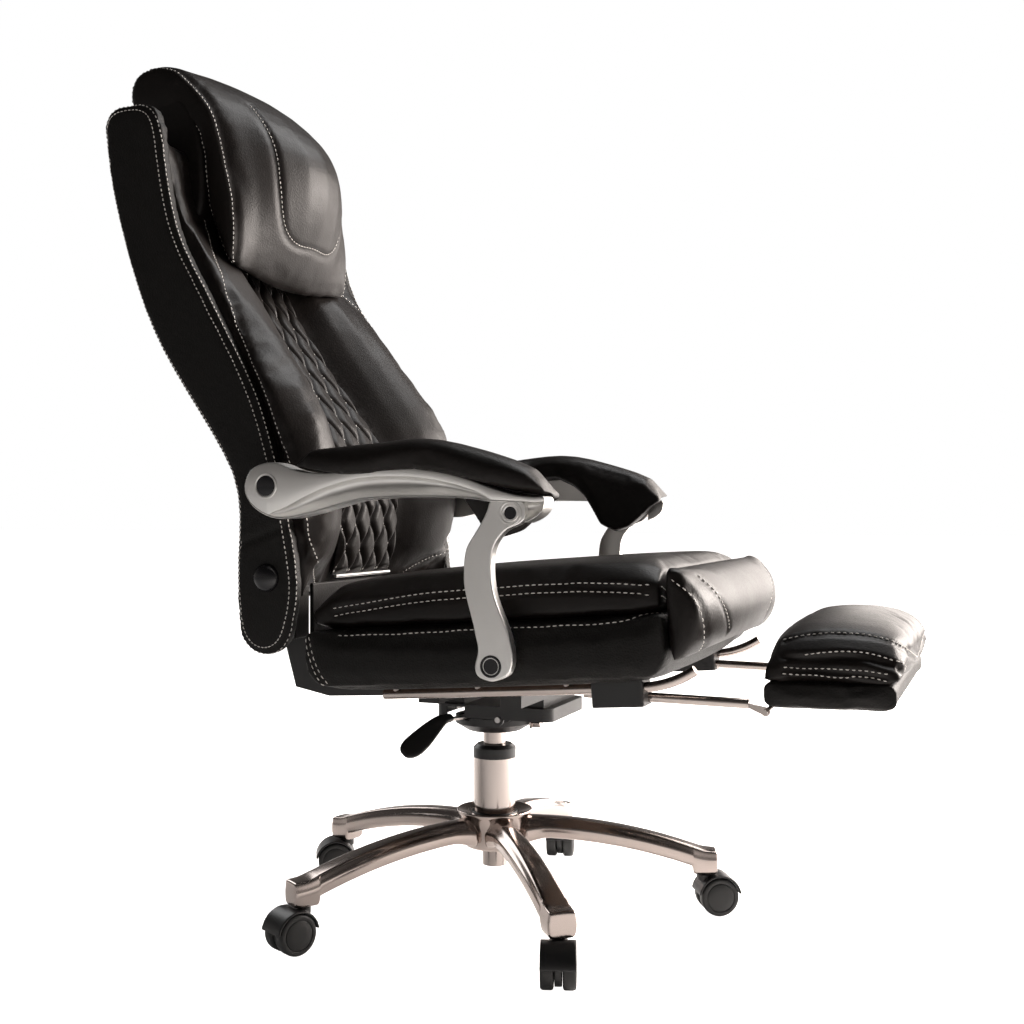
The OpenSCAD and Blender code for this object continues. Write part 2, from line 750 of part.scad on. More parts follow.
bracket_in = 54;
bracket_x = panel_x - bracket_in;
bracket_t = 5;
plate_gap = 2;
hinge_x = bracket_x + bracket_t + plate_gap;
hinge_boss_r = 19;
bracket_foot = 10;
bracket_heel = 136;
bracket_h = 16;
bracket_arm = 6;
module hinge_brackets() color([0.12, 0.12, 0.12])
    difference() {
        for (s = [-1, 1])
            side_slab(s > 0 ? bracket_x : -bracket_x - bracket_t, bracket_t) {
                translate([recline_y, recline_z])
                    circle(hinge_boss_r);
                polygon([
                    [bracket_foot, under_seat(bracket_foot) - bracket_h], [bracket_foot,
                    under_seat(bracket_foot) - gap],
                    [bracket_heel, under_seat(bracket_heel) - gap],
                    [seat_rear + bracket_h, under_seat(bracket_heel) + bracket_arm],
                    [recline_y - hinge_boss_r, recline_z], [recline_y + hinge_boss_r, recline_z],
                    [recline_y - bracket_arm, under_seat(bracket_heel) - bracket_arm],
                    [seat_rear, under_seat(bracket_heel) - bracket_h]
                ]);
            }
        cross_bar(-back_half, back_half, recline_y, recline_z, hinge_pin_r + fit);
    }
function under_seat(y) = seat_z - y * tan(seat_slope);

hinge_pin_r = 6;
module hinge_pins() color([0.6, 0.6, 0.6])
    for (s = [-1, 1])
        cross_bar(s > 0 ? bracket_x - pin_out : -hinge_x - bracket_t - pin_out,
            s > 0 ? hinge_x + bracket_t + pin_out : -bracket_x + pin_out, recline_y, recline_z, hinge_pin_r);

stud_r = 7;
stud_in = 14;
stud_collar = 5;
link_gap = 12;
link_x = seat_w / 2 + link_gap;
module link_studs() color([0.5, 0.5, 0.5])
    for (s = [-1, 1]) {
        cross_bar(s > 0 ? seat_w / 2 - stud_in + gap : -link_x - link_t,
            s > 0 ? link_x + link_t : -seat_w / 2 + stud_in - gap, link_low_y, link_low_z, stud_r);
        cross_bar(s > 0 ? seat_w / 2 + gap : -link_x + gap,
            s > 0 ? link_x - gap : -seat_w / 2 - gap, link_low_y, link_low_z, stud_r + stud_collar);
    }

// Footrest
rest_back = 12;
rest_rear_y = rest_axle_y + rest_back;
rest_lift = 5.5;
rest_under = rest_axle_z + rest_lift;
rest_slope = -1;
axle_out = 12;
axle_rod_r = 3.5;
eye_t = 6;
eye_r = 5;
eye_in = 1;
module at_rest()
    translate([0, rest_rear_y, rest_under])
        rotate([rest_slope, 0, 0])
            children();

module footrest_rods() color([0.74, 0.71, 0.7]) {
    for (s = [-1, 1]) {
        along_rod()
            translate([s * rod_x, 0, 0])
                rotate([-90, 0, 0])
                    cylinder(r = rod_r, h = rod_l);
        side_slab(s * rod_x - eye_t / 2, eye_t) {
            translate([rest_axle_y, rest_axle_z])
                circle(eye_r);
            polygon([
                [rest_axle_y, rest_axle_z + eye_r], [rest_axle_y, rest_axle_z - eye_r],
                [rod_front_y, rod_front_z - rod_r + eye_in], [rod_front_y + eye_t,
                rod_front_z - rod_r + eye_in],
                [rod_front_y + eye_t, rod_front_z], [rod_front_y, rod_front_z]
            ]);
        }
    }
    cross_bar(-rod_x - axle_out, rod_x + axle_out, rest_axle_y, rest_axle_z, axle_rod_r);
}

base_side = 10;
base_short = 14;
base_corner_r = 10;
lug_in = 27;
lug_x = rod_x - lug_in;
lug_w = 16;
lug_r = 5;
module footrest_base() color([0.05, 0.045, 0.045])
    difference() {
        union() {
            at_rest()
                side_slab(-rest_w / 2 + base_side, rest_w - 2 * base_side)
                    translate([-rest_d / 2, rest_box_h / 2])
                        rounded_rect(rest_d - base_short, rest_box_h, base_corner_r);
            for (s = [-1, 1])
                side_slab(s * lug_x - lug_w / 2, lug_w) {
                    translate([rest_axle_y, rest_axle_z])
                        circle(lug_r);
                    translate([rest_axle_y - lug_r, rest_axle_z])
                        square([2 * lug_r, rest_lift + base_corner_r]);
                }
        }
        cross_bar(-rod_x - axle_out, rod_x + axle_out, rest_axle_y, rest_axle_z, axle_rod_r + fit);
    }

rest_edge_share = 0.3;
rest_pull_share = 0.04;
rest_back_share = 0.02;
module footrest_pad() color([0.07, 0.055, 0.05])
    at_rest()
        soft_pad(12, 10, function(u, v, s) let (
            side = fullness(u, 2.6),
            ends = fullness(v, 2.4),
            z = s == 1 ? rest_pad_h * mix_of(rest_edge_share, 1, side * ends) : gap,
            pull = s == 1 ? rest_pull_share * (1 - side) : 0
        ) [
            (0.5 - u) * rest_w * (1 - pull),
            -rest_d * mix_of(rest_back_share + pull, 1 - pull, v),
            rest_box_h + z
        ]);

// Back, measured from its hinge, with its layers drawn at shared levels
panel_in = 14;
strap_t = 4;
strap_w = 30;
level_count = 36;
level_h = back_rise / level_count;
foot_count = 2;
strap_count = 8;
board_count = 33;
head_count = 34;
top_count = 35;
cushion_gap = 1.8;
cushion_in = panel_in + back_board_t + cushion_gap;
back_foot = foot_count * level_h;
back_head = head_count * level_h;
function layer(a, b, near, far) = concat(
    [for (k = [a:b]) [rear_y(k * level_h) - near, k * level_h]],
    [for (k = [b:-1:a]) [rear_y(k * level_h) - far, k * level_h]]);

module rear_panel() color([0.06, 0.05, 0.05])
    at_back()
        side_slab(-panel_x + gap, 2 * panel_x - 2 * gap)
            polygon(layer(1, top_count, 0, panel_in));

board_edge = 6;
module back_board() color([0.55, 0.42, 0.28])
    at_back()
        difference() {
            side_slab(-panel_x + board_edge, 2 * (panel_x - board_edge))
                polygon(layer(foot_count, board_count, panel_in, panel_in + back_board_t));
            for (s = [-1, 1])
                side_slab((s > 0 ? hinge_x - strap_w : -hinge_x - bracket_t) - gap,
                    bracket_t + strap_w + 2 * gap)
                    polygon(layer(foot_count - 1, strap_count, panel_in + back_board_t - strap_t,
                        cushion_in + cut));
        }

heel_arm = 14;
module back_hinges() color([0.12, 0.12, 0.12])
    difference() {
        for (s = [-1, 1]) {
            at_back()
                side_slab(s > 0 ? hinge_x : -hinge_x - bracket_t, bracket_t) {
                    circle(hinge_boss_r);
                    polygon([
                        [-hinge_boss_r, 0], [hinge_boss_r, 0],
                        [rear_y(back_foot) - panel_in - back_board_t + strap_t, back_foot - heel_arm / 2],
                        [rear_y(back_foot) - panel_in - back_board_t + strap_t, back_foot + heel_arm],
                        [rear_y(back_foot) - panel_in - back_board_t, back_foot + heel_arm],
                        [rear_y(back_foot) - panel_in - back_board_t, back_foot - gap],
                        [-heel_arm, back_foot - heel_arm]
                    ]);
                }
            at_back()
                side_slab(s > 0 ? hinge_x - strap_w : -hinge_x - bracket_t, bracket_t + strap_w)
                    polygon(layer(foot_count, strap_count, panel_in + back_board_t - strap_t,
                        panel_in + back_board_t));
        }
        cross_bar(-back_half, back_half, recline_y, recline_z, hinge_pin_r + fit);
    }

panel_top_r = 30;
module side_outline() {
    circle(heel_r);
    polygon(concat(
        [for (k = [0:24]) let (z = mix_of(0, back_rise - panel_top_r, k / 24)) [rear_y(z), z]],
        [for (k = [0:6]) let (a = k * 15, z = back_rise - panel_top_r)
            [rear_y(z) - panel_top_r + panel_top_r * cos(a), z + panel_top_r * sin(a)]],
        [for (k = [6:12]) let (a = k * 15, z = back_rise - panel_top_r)
            [rear_y(z) - panel_d + panel_top_r + panel_top_r * cos(a), z + panel_top_r * sin(a)]],
        [for (k = [24:-1:1]) let (z = mix_of(0, back_rise - panel_top_r, k / 24)) [panel_front(z), z]],
        [[-heel_r, 0]]
    ));
}
heel_blend = 40;
function panel_front(z) = mix_of(-heel_r, front_y(z), clamp01(z / heel_blend));

stud_seat = 4;
stem_seat = 12;
module side_panel(name) color([0.06, 0.05, 0.05])
    at_back()
        difference() {
            side_slab(side_of(name) > 0 ? panel_x : -back_half, panel_w)
                side_outline();
            cross_bar(side_of(name) > 0 ? panel_x + stud_seat : -back_half - cut,
                side_of(name) > 0 ? back_half + cut : -panel_x - stud_seat,
                arm_rear_y - recline_y, arm_rear_z - recline_z, stud_r + fit);
            cross_bar(side_of(name) > 0 ? back_half - stem_seat : -back_half - cut,
                side_of(name) > 0 ? back_half + cut : -back_half + stem_seat,
                knob_y, knob_z, knob_stem_r + fit);
        }

hump_power = 0.85;
bolster_edge_share = 0.25;
pad_min = 8;
quilt_t = 14;
quilt_cell_count = 10;
bolster_cell_count = 5;
row_count = 2;
// A bolster's round: up to one at its crest, then down to the share that its outer edge keeps
function hump(t, crest) = t < crest ? pow(sin(90 * t / crest), hump_power)
    : mix_of(bolster_edge_share, 1, sqrt(max(1 - pow((t - crest) / (1 - crest), 2), 0)));
// What a bolster's round stands on: the quilted face up to its crest, then over to the side panel's front edge
function bolster_foot(z, t, crest) = t < crest ? face_y(z)
    : mix_of(min(face_y(z), front_y(z)), face_y(z), sqrt(max(1 - pow((t - crest) / (1 - crest), 2), 0)));
quilt_face = [
    for (k = [foot_count:row_count:head_count]) [k * level_h, quilt_y(k * level_h) + quilt_t]];
function face_y(z) = lookup(z, quilt_face);
module back_cushion() color([0.07, 0.055, 0.05])
    at_back()
        soft_pad(quilt_cell_count + 2 * bolster_cell_count, (head_count - foot_count) / row_count, function(u, v,
            s) let (
            z = mix_of(back_foot, back_head, v),
            w = panel_x - gap,
            q = quilt_half(z),
            side = abs(2 * u - 1) * (quilt_cell_count + 2 * bolster_cell_count) / quilt_cell_count,
            t = clamp01((side - 1) * quilt_cell_count / (2 * bolster_cell_count)),
            x = sign(u - 0.5) * (side < 1 ? side * q : mix_of(q, w, t)),
            crest = bolster_crest(z),
            face = bolster_foot(z, t, crest) - bolster_stand(z) * hump(t, crest),
            back = rear_y(z) - cushion_in
        ) [x, s == 1 ? min(face, back - pad_min) : back, z]);

quilt_foot_count = 3;
quilt_head_count = 26;
quilt_side = 2;
quilt_edge = 5;
tuft = 9;
quilt_column_count = 4;
quilt_across_count = 20;
function tufting(u, v) =
    abs(sin(180 * (quilt_column_count * u + quilt_rows * v)) * sin(180 * (quilt_column_count * u - quilt_rows * v)));
module quilted_panel() color([0.08, 0.06, 0.055])
    at_back()
        soft_pad(quilt_across_count, quilt_head_count - quilt_foot_count, function(u, v, s) let (
            z = level_h * mix_of(quilt_foot_count, quilt_head_count, v),
            w = quilt_half(z) - quilt_side,
            base = face_y(z) - gap,
            puff = quilt_edge + tuft * pow(tufting(u, v), 0.5) * fullness(u, 6) * fullness(v, 12)
        ) [(2 * u - 1) * w, s == 1 ? base - puff : base, z]);

// Headrest: side views at its middle and at its ends, from the hinge, as shares of the back's lean and rise
head_mid_shares = [
    [1.03, 1.01], [1.11, 1.06], [1.08, 1.105], [0.97, 1.125], [0.83, 1.127], [0.68, 1.105], [0.5, 1.065],
    [0.3, 1], [0.2, 0.945], [0.176, 0.89], [0.195, 0.835], [0.26, 0.77], [0.36, 0.7], [0.44, 0.668],
    [0.52, 0.69], [0.58, 0.74], [0.63, 0.84], [0.66, 0.98]];
head_end_shares = [
    [1.03, 1.01], [1.1, 1.055], [1.07, 1.095], [0.97, 1.113], [0.87, 1.113], [0.767, 1.1], [0.66, 1.067],
    [0.55, 1.02], [0.49, 0.96], [0.45, 0.9], [0.415, 0.85], [0.392, 0.79], [0.39, 0.73], [0.41, 0.69],
    [0.455, 0.7], [0.51, 0.75], [0.58, 0.83], [0.64, 0.98]];
head_ends_shares = [
    [-1, 0.9, 1], [-0.975, 0.97, 1], [-0.9, 1, 0.96], [-0.72, 1, 0.72], [-0.5, 1, 0.36], [-0.25, 1, 0.1],
    [0, 1, 0],
    [0.25, 1, 0.1], [0.5, 1, 0.36], [0.72, 1, 0.72], [0.9, 1, 0.96], [0.975, 0.97, 1], [1, 0.9, 1]];
head_mid = smooth_ring(scaled(head_mid_shares, back_lean, back_rise), 2);
head_end = smooth_ring(scaled(head_end_shares, back_lean, back_rise), 2);
head_core = [0.68 * back_lean, 0.92 * back_rise];
module headrest() color([0.07, 0.055, 0.05])
    at_back()
        loft([for (e = head_ends_shares) [for (i = [0:len(head_mid) - 1])
            let (p = mix_of(head_mid[i], head_end[i], e[2]), q = head_core + (p - head_core) * e[1])
            [-e[0] * head_w / 2, q[0], q[1]]]]);

arm_gap = 6;
cap_floor = 4;
arm_x = back_half + arm_gap;
module arm_studs() color([0.5, 0.5, 0.5])
    for (s = [-1, 1]) {
        cross_bar(s > 0 ? panel_x + stud_seat + gap : -arm_x - arm_t + cap_floor,
            s > 0 ? arm_x + arm_t - cap_floor : -panel_x - stud_seat - gap, arm_rear_y, arm_rear_z, stud_r);
        cross_bar(s > 0 ? back_half : -arm_x + gap, s > 0 ? arm_x - gap : -back_half,
            arm_rear_y, arm_rear_z, stud_r + stud_collar);
    }

knob_y = -3;
knob_z = 63;
knob_stem_r = 5;
knob_stem_l = 11;
knob_rim = 6;
knob_dome_h = 7;
knob_dome_r = (pow(knob_r, 2) + pow(knob_dome_h, 2)) / (2 * knob_dome_h);
module recline_knob(name) color([0.04, 0.04, 0.045])
    at_back()
        translate([side_of(name) * (back_half + gap), knob_y, knob_z])
            rotate([0, side_of(name) * 90, 0]) {
                translate([0, 0, -knob_stem_l])
                    cylinder(r = knob_stem_r, h = knob_stem_l + knob_rim / 2);
                cylinder(r = knob_r, h = knob_rim);
                intersection() {
                    translate([0, 0, knob_rim])
                        cylinder(r = knob_r, h = knob_dome_h);
                    translate([0, 0, knob_rim + knob_dome_h - knob_dome_r])
                        sphere(r = knob_dome_r);
                }
            }

// Arms and links
link_h = arm_front_z - link_low_z;
link_low_r = 19;
link_top_r = 15;
link_edge_shares = [
    [0.13, -0.05], [0.19, 0.05], [0.13, 0.28], [0.16, 0.45], [0.2, 0.58], [0.22, 0.72], [0.17, 0.83],
    [0.08, 0.97]];
link_front_shares = [
    [-0.09, 0.95], [-0.05, 0.85], [-0.01, 0.72], [0.0, 0.58], [-0.03, 0.42], [-0.09, 0.2], [-0.12, 0.05],
    [-0.08, -0.06]];
module link_outline() {
    translate([link_low_y, link_low_z])
        circle(link_low_r);
    translate([arm_front_y, arm_front_z])
        circle(link_top_r);
    translate([link_low_y, link_low_z])
        polygon(concat(
            smooth_line(scaled(link_edge_shares, link_h, link_h), 4),
            [[arm_front_y - link_low_y, link_h]],
            smooth_line(scaled(link_front_shares, link_h, link_h), 4),
            [[0, 0]]));
}

module arm_link(name) color([0.7, 0.69, 0.68])
    difference() {
        side_slab(side_of(name) > 0 ? link_x : -link_x - link_t, link_t)
            link_outline();
        cross_bar(-link_x - 2 * link_t, link_x + 2 * link_t, link_low_y, link_low_z, stud_r + fit);
        cross_bar(-link_x - 2 * link_t, link_x + 2 * link_t, arm_front_y, arm_front_z, arm_pin_r + fit);
    }

arm_pin_r = 6;
arm_boss_r = 24;
arm_over = 50;
arm_l = arm_rear_y - arm_front_y + arm_over;
tab_t = 10;
tab_h = 24;
arm_top_shares = [
    [0.062, 0.047], [-0.03, 0.071], [-0.125, 0.054], [-0.307, 0.029], [-0.57, 0.049], [-0.8, 0], [-0.985,
    -0.036]];
arm_low_shares = [
    [-0.985, -0.048], [-0.84, -0.046], [-0.67, -0.039], [-0.36, -0.044], [-0.216, -0.07], [-0.107, -0.109],
    [0, -0.062]];
module arm_outline() {
    circle(arm_boss_r);
    polygon(concat(
        smooth_line(scaled(arm_top_shares, arm_l, arm_l), 4), smooth_line(scaled(arm_low_shares, arm_l,
            arm_l), 4)));
}

module arm_frame(name) color([0.72, 0.71, 0.7])
    difference() {
        union() {
            translate([0, arm_rear_y, arm_rear_z])
                side_slab(side_of(name) > 0 ? arm_x : -arm_x - arm_t, arm_t)
                    arm_outline();
            side_slab(side_of(name) > 0 ? link_x - gap - tab_t : -link_x + gap, tab_t) {
                translate([arm_front_y, arm_front_z])
                    circle(link_top_r);
                translate([arm_front_y - link_top_r, arm_front_z])
                    square([2 * link_top_r, tab_h]);
            }
            cross_bar(side_of(name) > 0 ? link_x - gap - tab_t : -link_x - link_t,
                side_of(name) > 0 ? link_x + link_t : -link_x + gap + tab_t, arm_front_y, arm_front_z,
                    arm_pin_r);
        }
        cross_bar(side_of(name) > 0 ? arm_x - cut : -arm_x - arm_t + cap_floor - gap,
            side_of(name) > 0 ? arm_x + arm_t - cap_floor + gap : -arm_x + cut, arm_rear_y, arm_rear_z,
                stud_r + fit);
    }

pad_rear = 163;
pad_front = -184;
pad_edge = 3;
pad_seat = 0.8;
pad_over = 10;
pad_lap = 30;
pad_clear = 5.5;
pad_hang = 52;
lap_start_share = 0.22;
lap_share = 0.16;
pad_end_share = 0.06;
pad_count = 9;
arm_line = smooth_line(arm_top_shares, 4);
function arm_top_z(y) = arm_rear_z + arm_l * lookup((y - arm_rear_y) / arm_l, arm_line);
// How much of the pad's inner side hangs beside the shell at a share of its length
hang_shares = [[0, 0], [0.5, 0.02], [0.6, 0.3], [0.7, 0.85], [0.8, 1], [0.88, 0.8], [0.96, 0.3], [1, 0.1]];
module arm_pad(name) color([0.07, 0.055, 0.05])
    soft_pad(pad_count, 14, function(u, v, s) let (
        side = side_of(name) > 0 ? 1 - u : u,
        k = round(side * pad_count),
        full = pow(max(1 - pow(abs(2 * v - 1), 4), 0), 0.4),
        y = mix_of(pad_rear, pad_front, v),
        lap = clamp01((v - lap_start_share) / lap_share),
        inner = arm_x + cut - pad_lap * lap,
        outer = arm_x + arm_t + pad_over * full,
        wall = mix_of(arm_x + cut, arm_x - pad_clear, lap),
        base = arm_top_z(y) + pad_seat,
        low = base - pad_hang * lookup(v, hang_shares),
        flat = mix_of(pad_end_share, 1 - pad_end_share, side),
        crown = full * fullness(flat, 2.4),
        under = k < 3 ? [mix_of(inner, wall, k / 2), low] : [mix_of(wall, outer, (k - 3) / (pad_count - 3)),
            base]
    ) [
        side_of(name) * (s == 1 ? mix_of(inner, outer, side) : under[0]), y,
        s == 1 ? base + mix_of(pad_edge, arm_pad_h, crown) : under[1]]);

cap_t = 3;
front_cap_share = 0.82;
module arm_caps(name) color([0.03, 0.03, 0.03]) {
    cross_bar(side_of(name) > 0 ? arm_x + arm_t + gap : -arm_x - arm_t - gap - cap_t,
        side_of(name) > 0 ? arm_x + arm_t + gap + cap_t : -arm_x - arm_t - gap, arm_rear_y, arm_rear_z,
            cap_r);
    cross_bar(side_of(name) > 0 ? link_x + link_t + gap : -link_x - link_t - gap - cap_t,
        side_of(name) > 0 ? link_x + link_t + gap + cap_t : -link_x - link_t - gap,
        arm_front_y, arm_front_z, cap_r * front_cap_share);
}

// Casters, each turned about its stem as it stands
caster_turns = [-60.7, 14.3, 120.3, 152.3, 198.3];
stem_in = 22;
hood_t = 3;
hood_gap = 1;
web_inset = 4;
neck_share = 2;
neck_h = 10;
axle_short = 4;
hood_w = 2 * wheel_w + wheel_gap;
web_w = wheel_gap - 2 * gap;
module at_caster(i)
    rotate([0, 0, leg_turn + (i - 1) * 360 / leg_count])
        translate([base_r, 0, 0])
            rotate([0, 0, caster_turns[i - 1] - leg_turn - (i - 1) * 360 / leg_count])
                children();
module round_wheel_axle(r, w)
    translate([caster_trail, w / 2, wheel_r])
        rotate([90, 0, 0])
            cylinder(r = r, h = w);

module caster_fork(i) color([0.05, 0.05, 0.05])
    at_caster(i) {
        difference() {
            union() {
                translate([0, 0, tip_under - neck_h])
                    cylinder(r = stem_r, h = neck_h + stem_in);
                translate([0, 0, tip_under - neck_h])
                    cylinder(r = stem_r * neck_share, h = neck_h - gap);
                intersection() {
                    round_wheel_axle(wheel_r + hood_gap + hood_t, hood_w);
                    translate([caster_trail - 2 * wheel_r, -hood_w, wheel_r + web_inset])
                        cube([4 * wheel_r, 2 * hood_w, wheel_r * 2]);
                }
            }
            round_wheel_axle(wheel_r + hood_gap, hood_w + cut);
        }
        round_wheel_axle(wheel_r - web_inset, web_w);
        translate([0, -web_w / 2, wheel_r])
            cube([caster_trail, web_w, wheel_r + hood_gap]);
        round_wheel_axle(axle_r, hood_w - 2 * axle_short);
    }

tread_bevel = 2;
disc_ring = 7;
disc_ring_w = 3;
bore_short = 2;
module caster_wheel(i, name) color([0.03, 0.03, 0.03])
    at_caster(i)
        translate([caster_trail, side_of(name) * (wheel_gap + wheel_w) / 2, wheel_r])
            rotate([side_of(name) * -90, 0, 0])
                difference() {
                    union() {
                        cylinder(r = wheel_r, h = wheel_w - 2 * tread_bevel, center = true);
                        cylinder(r = wheel_r - tread_bevel, h = wheel_w, center = true);
                    }
                    translate([0, 0, -wheel_w / 2 - cut])
                        cylinder(r = axle_r + fit, h = wheel_w + cut - bore_short);
                    translate([0, 0, wheel_w / 2 - bore_short / 2])
                        difference() {
                            cylinder(r = wheel_r - disc_ring, h = cut);
                            translate([0, 0, -cut])
                                cylinder(r = wheel_r - disc_ring - disc_ring_w, h = 4 * cut);
                        }
                }

star_base();
gas_tube();
tube_collar();
piston_rod();
valve_pin();
mechanism_bowl();
tension_screw();
lever_rod();
lever_paddle();
tilt_pin();
seat_tray();
seat_beams();
tray_bolts();
seat_board();
seat_box();
seat_cushion();
seat_roll();
footrest_rails();
guide_blocks();
hinge_brackets();
hinge_pins();
link_studs();
footrest_rods();
footrest_base();
footrest_pad();
back_board();
back_hinges();
rear_panel();
side_panel("left");  // side_panel_left
side_panel("right");  // side_panel_right
back_cushion();
quilted_panel();
headrest();
arm_studs();
recline_knob("left");  // recline_knob_left
recline_knob("right");  // recline_knob_right
arm_link("left");  // arm_link_left
arm_link("right");  // arm_link_right
arm_frame("left");  // arm_frame_left
arm_frame("right");  // arm_frame_right
arm_pad("left");  // arm_pad_left
arm_pad("right");  // arm_pad_right
arm_caps("left");  // arm_caps_left
arm_caps("right");  // arm_caps_right
for (i = [1:leg_count]) {
    caster_fork(i);
    caster_wheel(i, "left");
    caster_wheel(i, "right");
}
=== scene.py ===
# %% [markdown]
# # A reclining office chair with a footrest
# The lesson dresses a measured CAD model of the chair. The model comes in as a fixed frame of named
# solids. Hard parts whose shape is right keep their solids and get a finish. Cushions and covers are
# modelled again as leather work, in the space of the solid that they stand for.
# Lengths are in metres. X runs across the chair, the sitter faces -Y, Z is up.

# %% Load the frame
import json
import math

import bmesh
import bpy
import numpy as np
from mathutils import Matrix, Vector
from mathutils.bvhtree import BVHTree
from mathutils.kdtree import KDTree


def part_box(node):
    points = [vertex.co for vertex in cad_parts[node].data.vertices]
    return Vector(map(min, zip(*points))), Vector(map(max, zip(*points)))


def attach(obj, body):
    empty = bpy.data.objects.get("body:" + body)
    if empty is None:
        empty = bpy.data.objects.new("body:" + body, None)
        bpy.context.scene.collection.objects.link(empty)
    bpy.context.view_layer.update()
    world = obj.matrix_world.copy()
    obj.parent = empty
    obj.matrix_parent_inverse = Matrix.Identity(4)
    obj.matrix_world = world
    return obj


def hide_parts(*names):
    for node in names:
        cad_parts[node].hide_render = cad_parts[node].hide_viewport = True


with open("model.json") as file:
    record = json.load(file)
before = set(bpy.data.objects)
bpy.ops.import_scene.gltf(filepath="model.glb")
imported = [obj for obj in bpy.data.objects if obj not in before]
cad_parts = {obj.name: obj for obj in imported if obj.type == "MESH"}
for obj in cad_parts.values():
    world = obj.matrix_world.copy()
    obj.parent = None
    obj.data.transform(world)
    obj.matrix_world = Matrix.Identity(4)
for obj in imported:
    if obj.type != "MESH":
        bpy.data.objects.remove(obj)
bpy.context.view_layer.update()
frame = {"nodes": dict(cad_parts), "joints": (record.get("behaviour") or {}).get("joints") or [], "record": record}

# %% [markdown]
# ## Camera
# A catalogue picture of a chair is taken level, from far off, with a long lens. The place below came
# from lining up the five casters and the arm pivots. Looking at +X turned by 21.5 degrees shows the
# chair's right side with a little of its front.

# %% Camera
VIEW_TURN = math.radians(21.5)
LENS_PIXELS, IMAGE_SIDE, SENSOR_WIDTH = 1294, 1024, 36
EYE = Vector((-1.7223, -0.7053, 0.573))
ahead = Vector((math.cos(VIEW_TURN), math.sin(VIEW_TURN), 0))


def linked(thing):
    """Puts a new object in the scene."""
    bpy.context.scene.collection.objects.link(thing)
    return thing


eye = bpy.data.cameras.new("eye")
eye.sensor_width = SENSOR_WIDTH
eye.lens = LENS_PIXELS / IMAGE_SIDE * SENSOR_WIDTH
eye_object = linked(bpy.data.objects.new("eye", eye))
eye_object.location = EYE
eye_object.rotation_euler = ahead.to_track_quat("-Z", "Y").to_euler()
bpy.context.scene.camera = eye_object
print("lens", round(eye.lens, 2), "mm")

# %% [markdown]
# ## Light and floor
# Black leather is read by its highlights, so the studio is dark overhead and a few large soft panels
# do the work. The strongest stands in front of the sitter, towards the chair's far side, and draws
# the long soft gleam on the headrest and the seat. A second one stands on the far side, where a
# white studio wall would be, and gives the edges that turn away from the lens their gleam.
# Polished metal shows what stands round it: the pale floor gives its sides their light, the dark
# ceiling gives the flat tops of the legs their deep tone. The backdrop is white only where the lens
# sees it.

# %% Lights
def soft_light(name, place, aim, size, power, colour=(1, 1, 1)):
    """A panel of light that faces a point and isn't seen itself."""
    lamp = bpy.data.lights.new(name, "AREA")
    lamp.shape = "RECTANGLE"
    lamp.size, lamp.size_y = size
    lamp.energy = power
    lamp.color = colour
    holder = linked(bpy.data.objects.new(name, lamp))
    holder.location = place
    holder.rotation_euler = (Vector(aim) - Vector(place)).to_track_quat("-Z", "Y").to_euler()
    holder.visible_camera = False


WARM = (1.0, 0.92, 0.86)
soft_light("front panel", (1.9, -2.5, 1.6), (0, -0.1, 0.75), (1.8, 1.8), 270, WARM)
soft_light("top panel", (0.9, -0.6, 2.8), (0, 0, 0.6), (1.4, 1.4), 40)
soft_light("back panel", (1.2, 2.4, 1.6), (0, 0.2, 0.9), (1.2, 1.6), 16)
soft_light("far panel", (3.0, -1.3, 1.2), (0, -0.1, 0.75), (2.6, 2.0), 75, WARM)
print("lights", len(bpy.data.lights))

# %% Backdrop
ROOM_TONES = [(0.0, 0.38), (0.12, 0.3), (0.3, 0.11), (0.6, 0.05), (1.0, 0.04)]
ROOM_TINT = (1, 0.94, 0.9)
FLOOR_SIDE, FLOOR_Z = 60, -0.0005
room = bpy.data.worlds.new("room")
bpy.context.scene.world = room
room.use_nodes = True
room_nodes, room_links = room.node_tree.nodes, room.node_tree.links
room_nodes.clear()
dim, bright, paths, choice, end, where, split, ramp = (room_nodes.new("ShaderNode" + kind) for kind in (
    "Background", "Background", "LightPath", "MixShader", "OutputWorld", "TexCoord", "SeparateXYZ",
    "ValToRGB"))
bright.inputs["Color"].default_value = (1, 1, 1, 1)
for _ in ROOM_TONES[2:]:
    ramp.color_ramp.elements.new(0.5)
for stop, (height, tone) in zip(ramp.color_ramp.elements, ROOM_TONES):
    stop.position, stop.color = height, (*(tone * part for part in ROOM_TINT), 1)
for source, out, target, into in (
        (where, "Generated", split, 0), (split, "Z", ramp, "Fac"), (ramp, "Color", dim, "Color"),
        (paths, "Is Camera Ray", choice, "Fac"), (dim, "Background", choice, 1),
        (bright, "Background", choice, 2), (choice, "Shader", end, "Surface")):
    room_links.new(source.outputs[out], target.inputs[into])
bpy.context.scene.view_settings.view_transform = "Standard"
bpy.ops.mesh.primitive_plane_add(size=FLOOR_SIDE, location=(0, 0, FLOOR_Z))
floor = bpy.context.object
floor.name = "floor"
print("backdrop", room.name)

# %% [markdown]
# ## Writing finishes as sums
# A node graph is easier to read as arithmetic. Value wraps one socket, and + and * on it add the
# Math nodes. Finish makes one material, and its node method adds any other node.

# %% Materials as Python
class Value:
    """A number that varies over a surface."""

    def __init__(self, finish, socket):
        self.finish, self.socket = finish, socket

    def maths(self, operation, other):
        return self.finish.node("ShaderNodeMath", {"operation": operation}, {0: self, 1: other})

    def __add__(self, other):
        return self.maths("ADD", other)

    def __mul__(self, other):
        return self.maths("MULTIPLY", other)


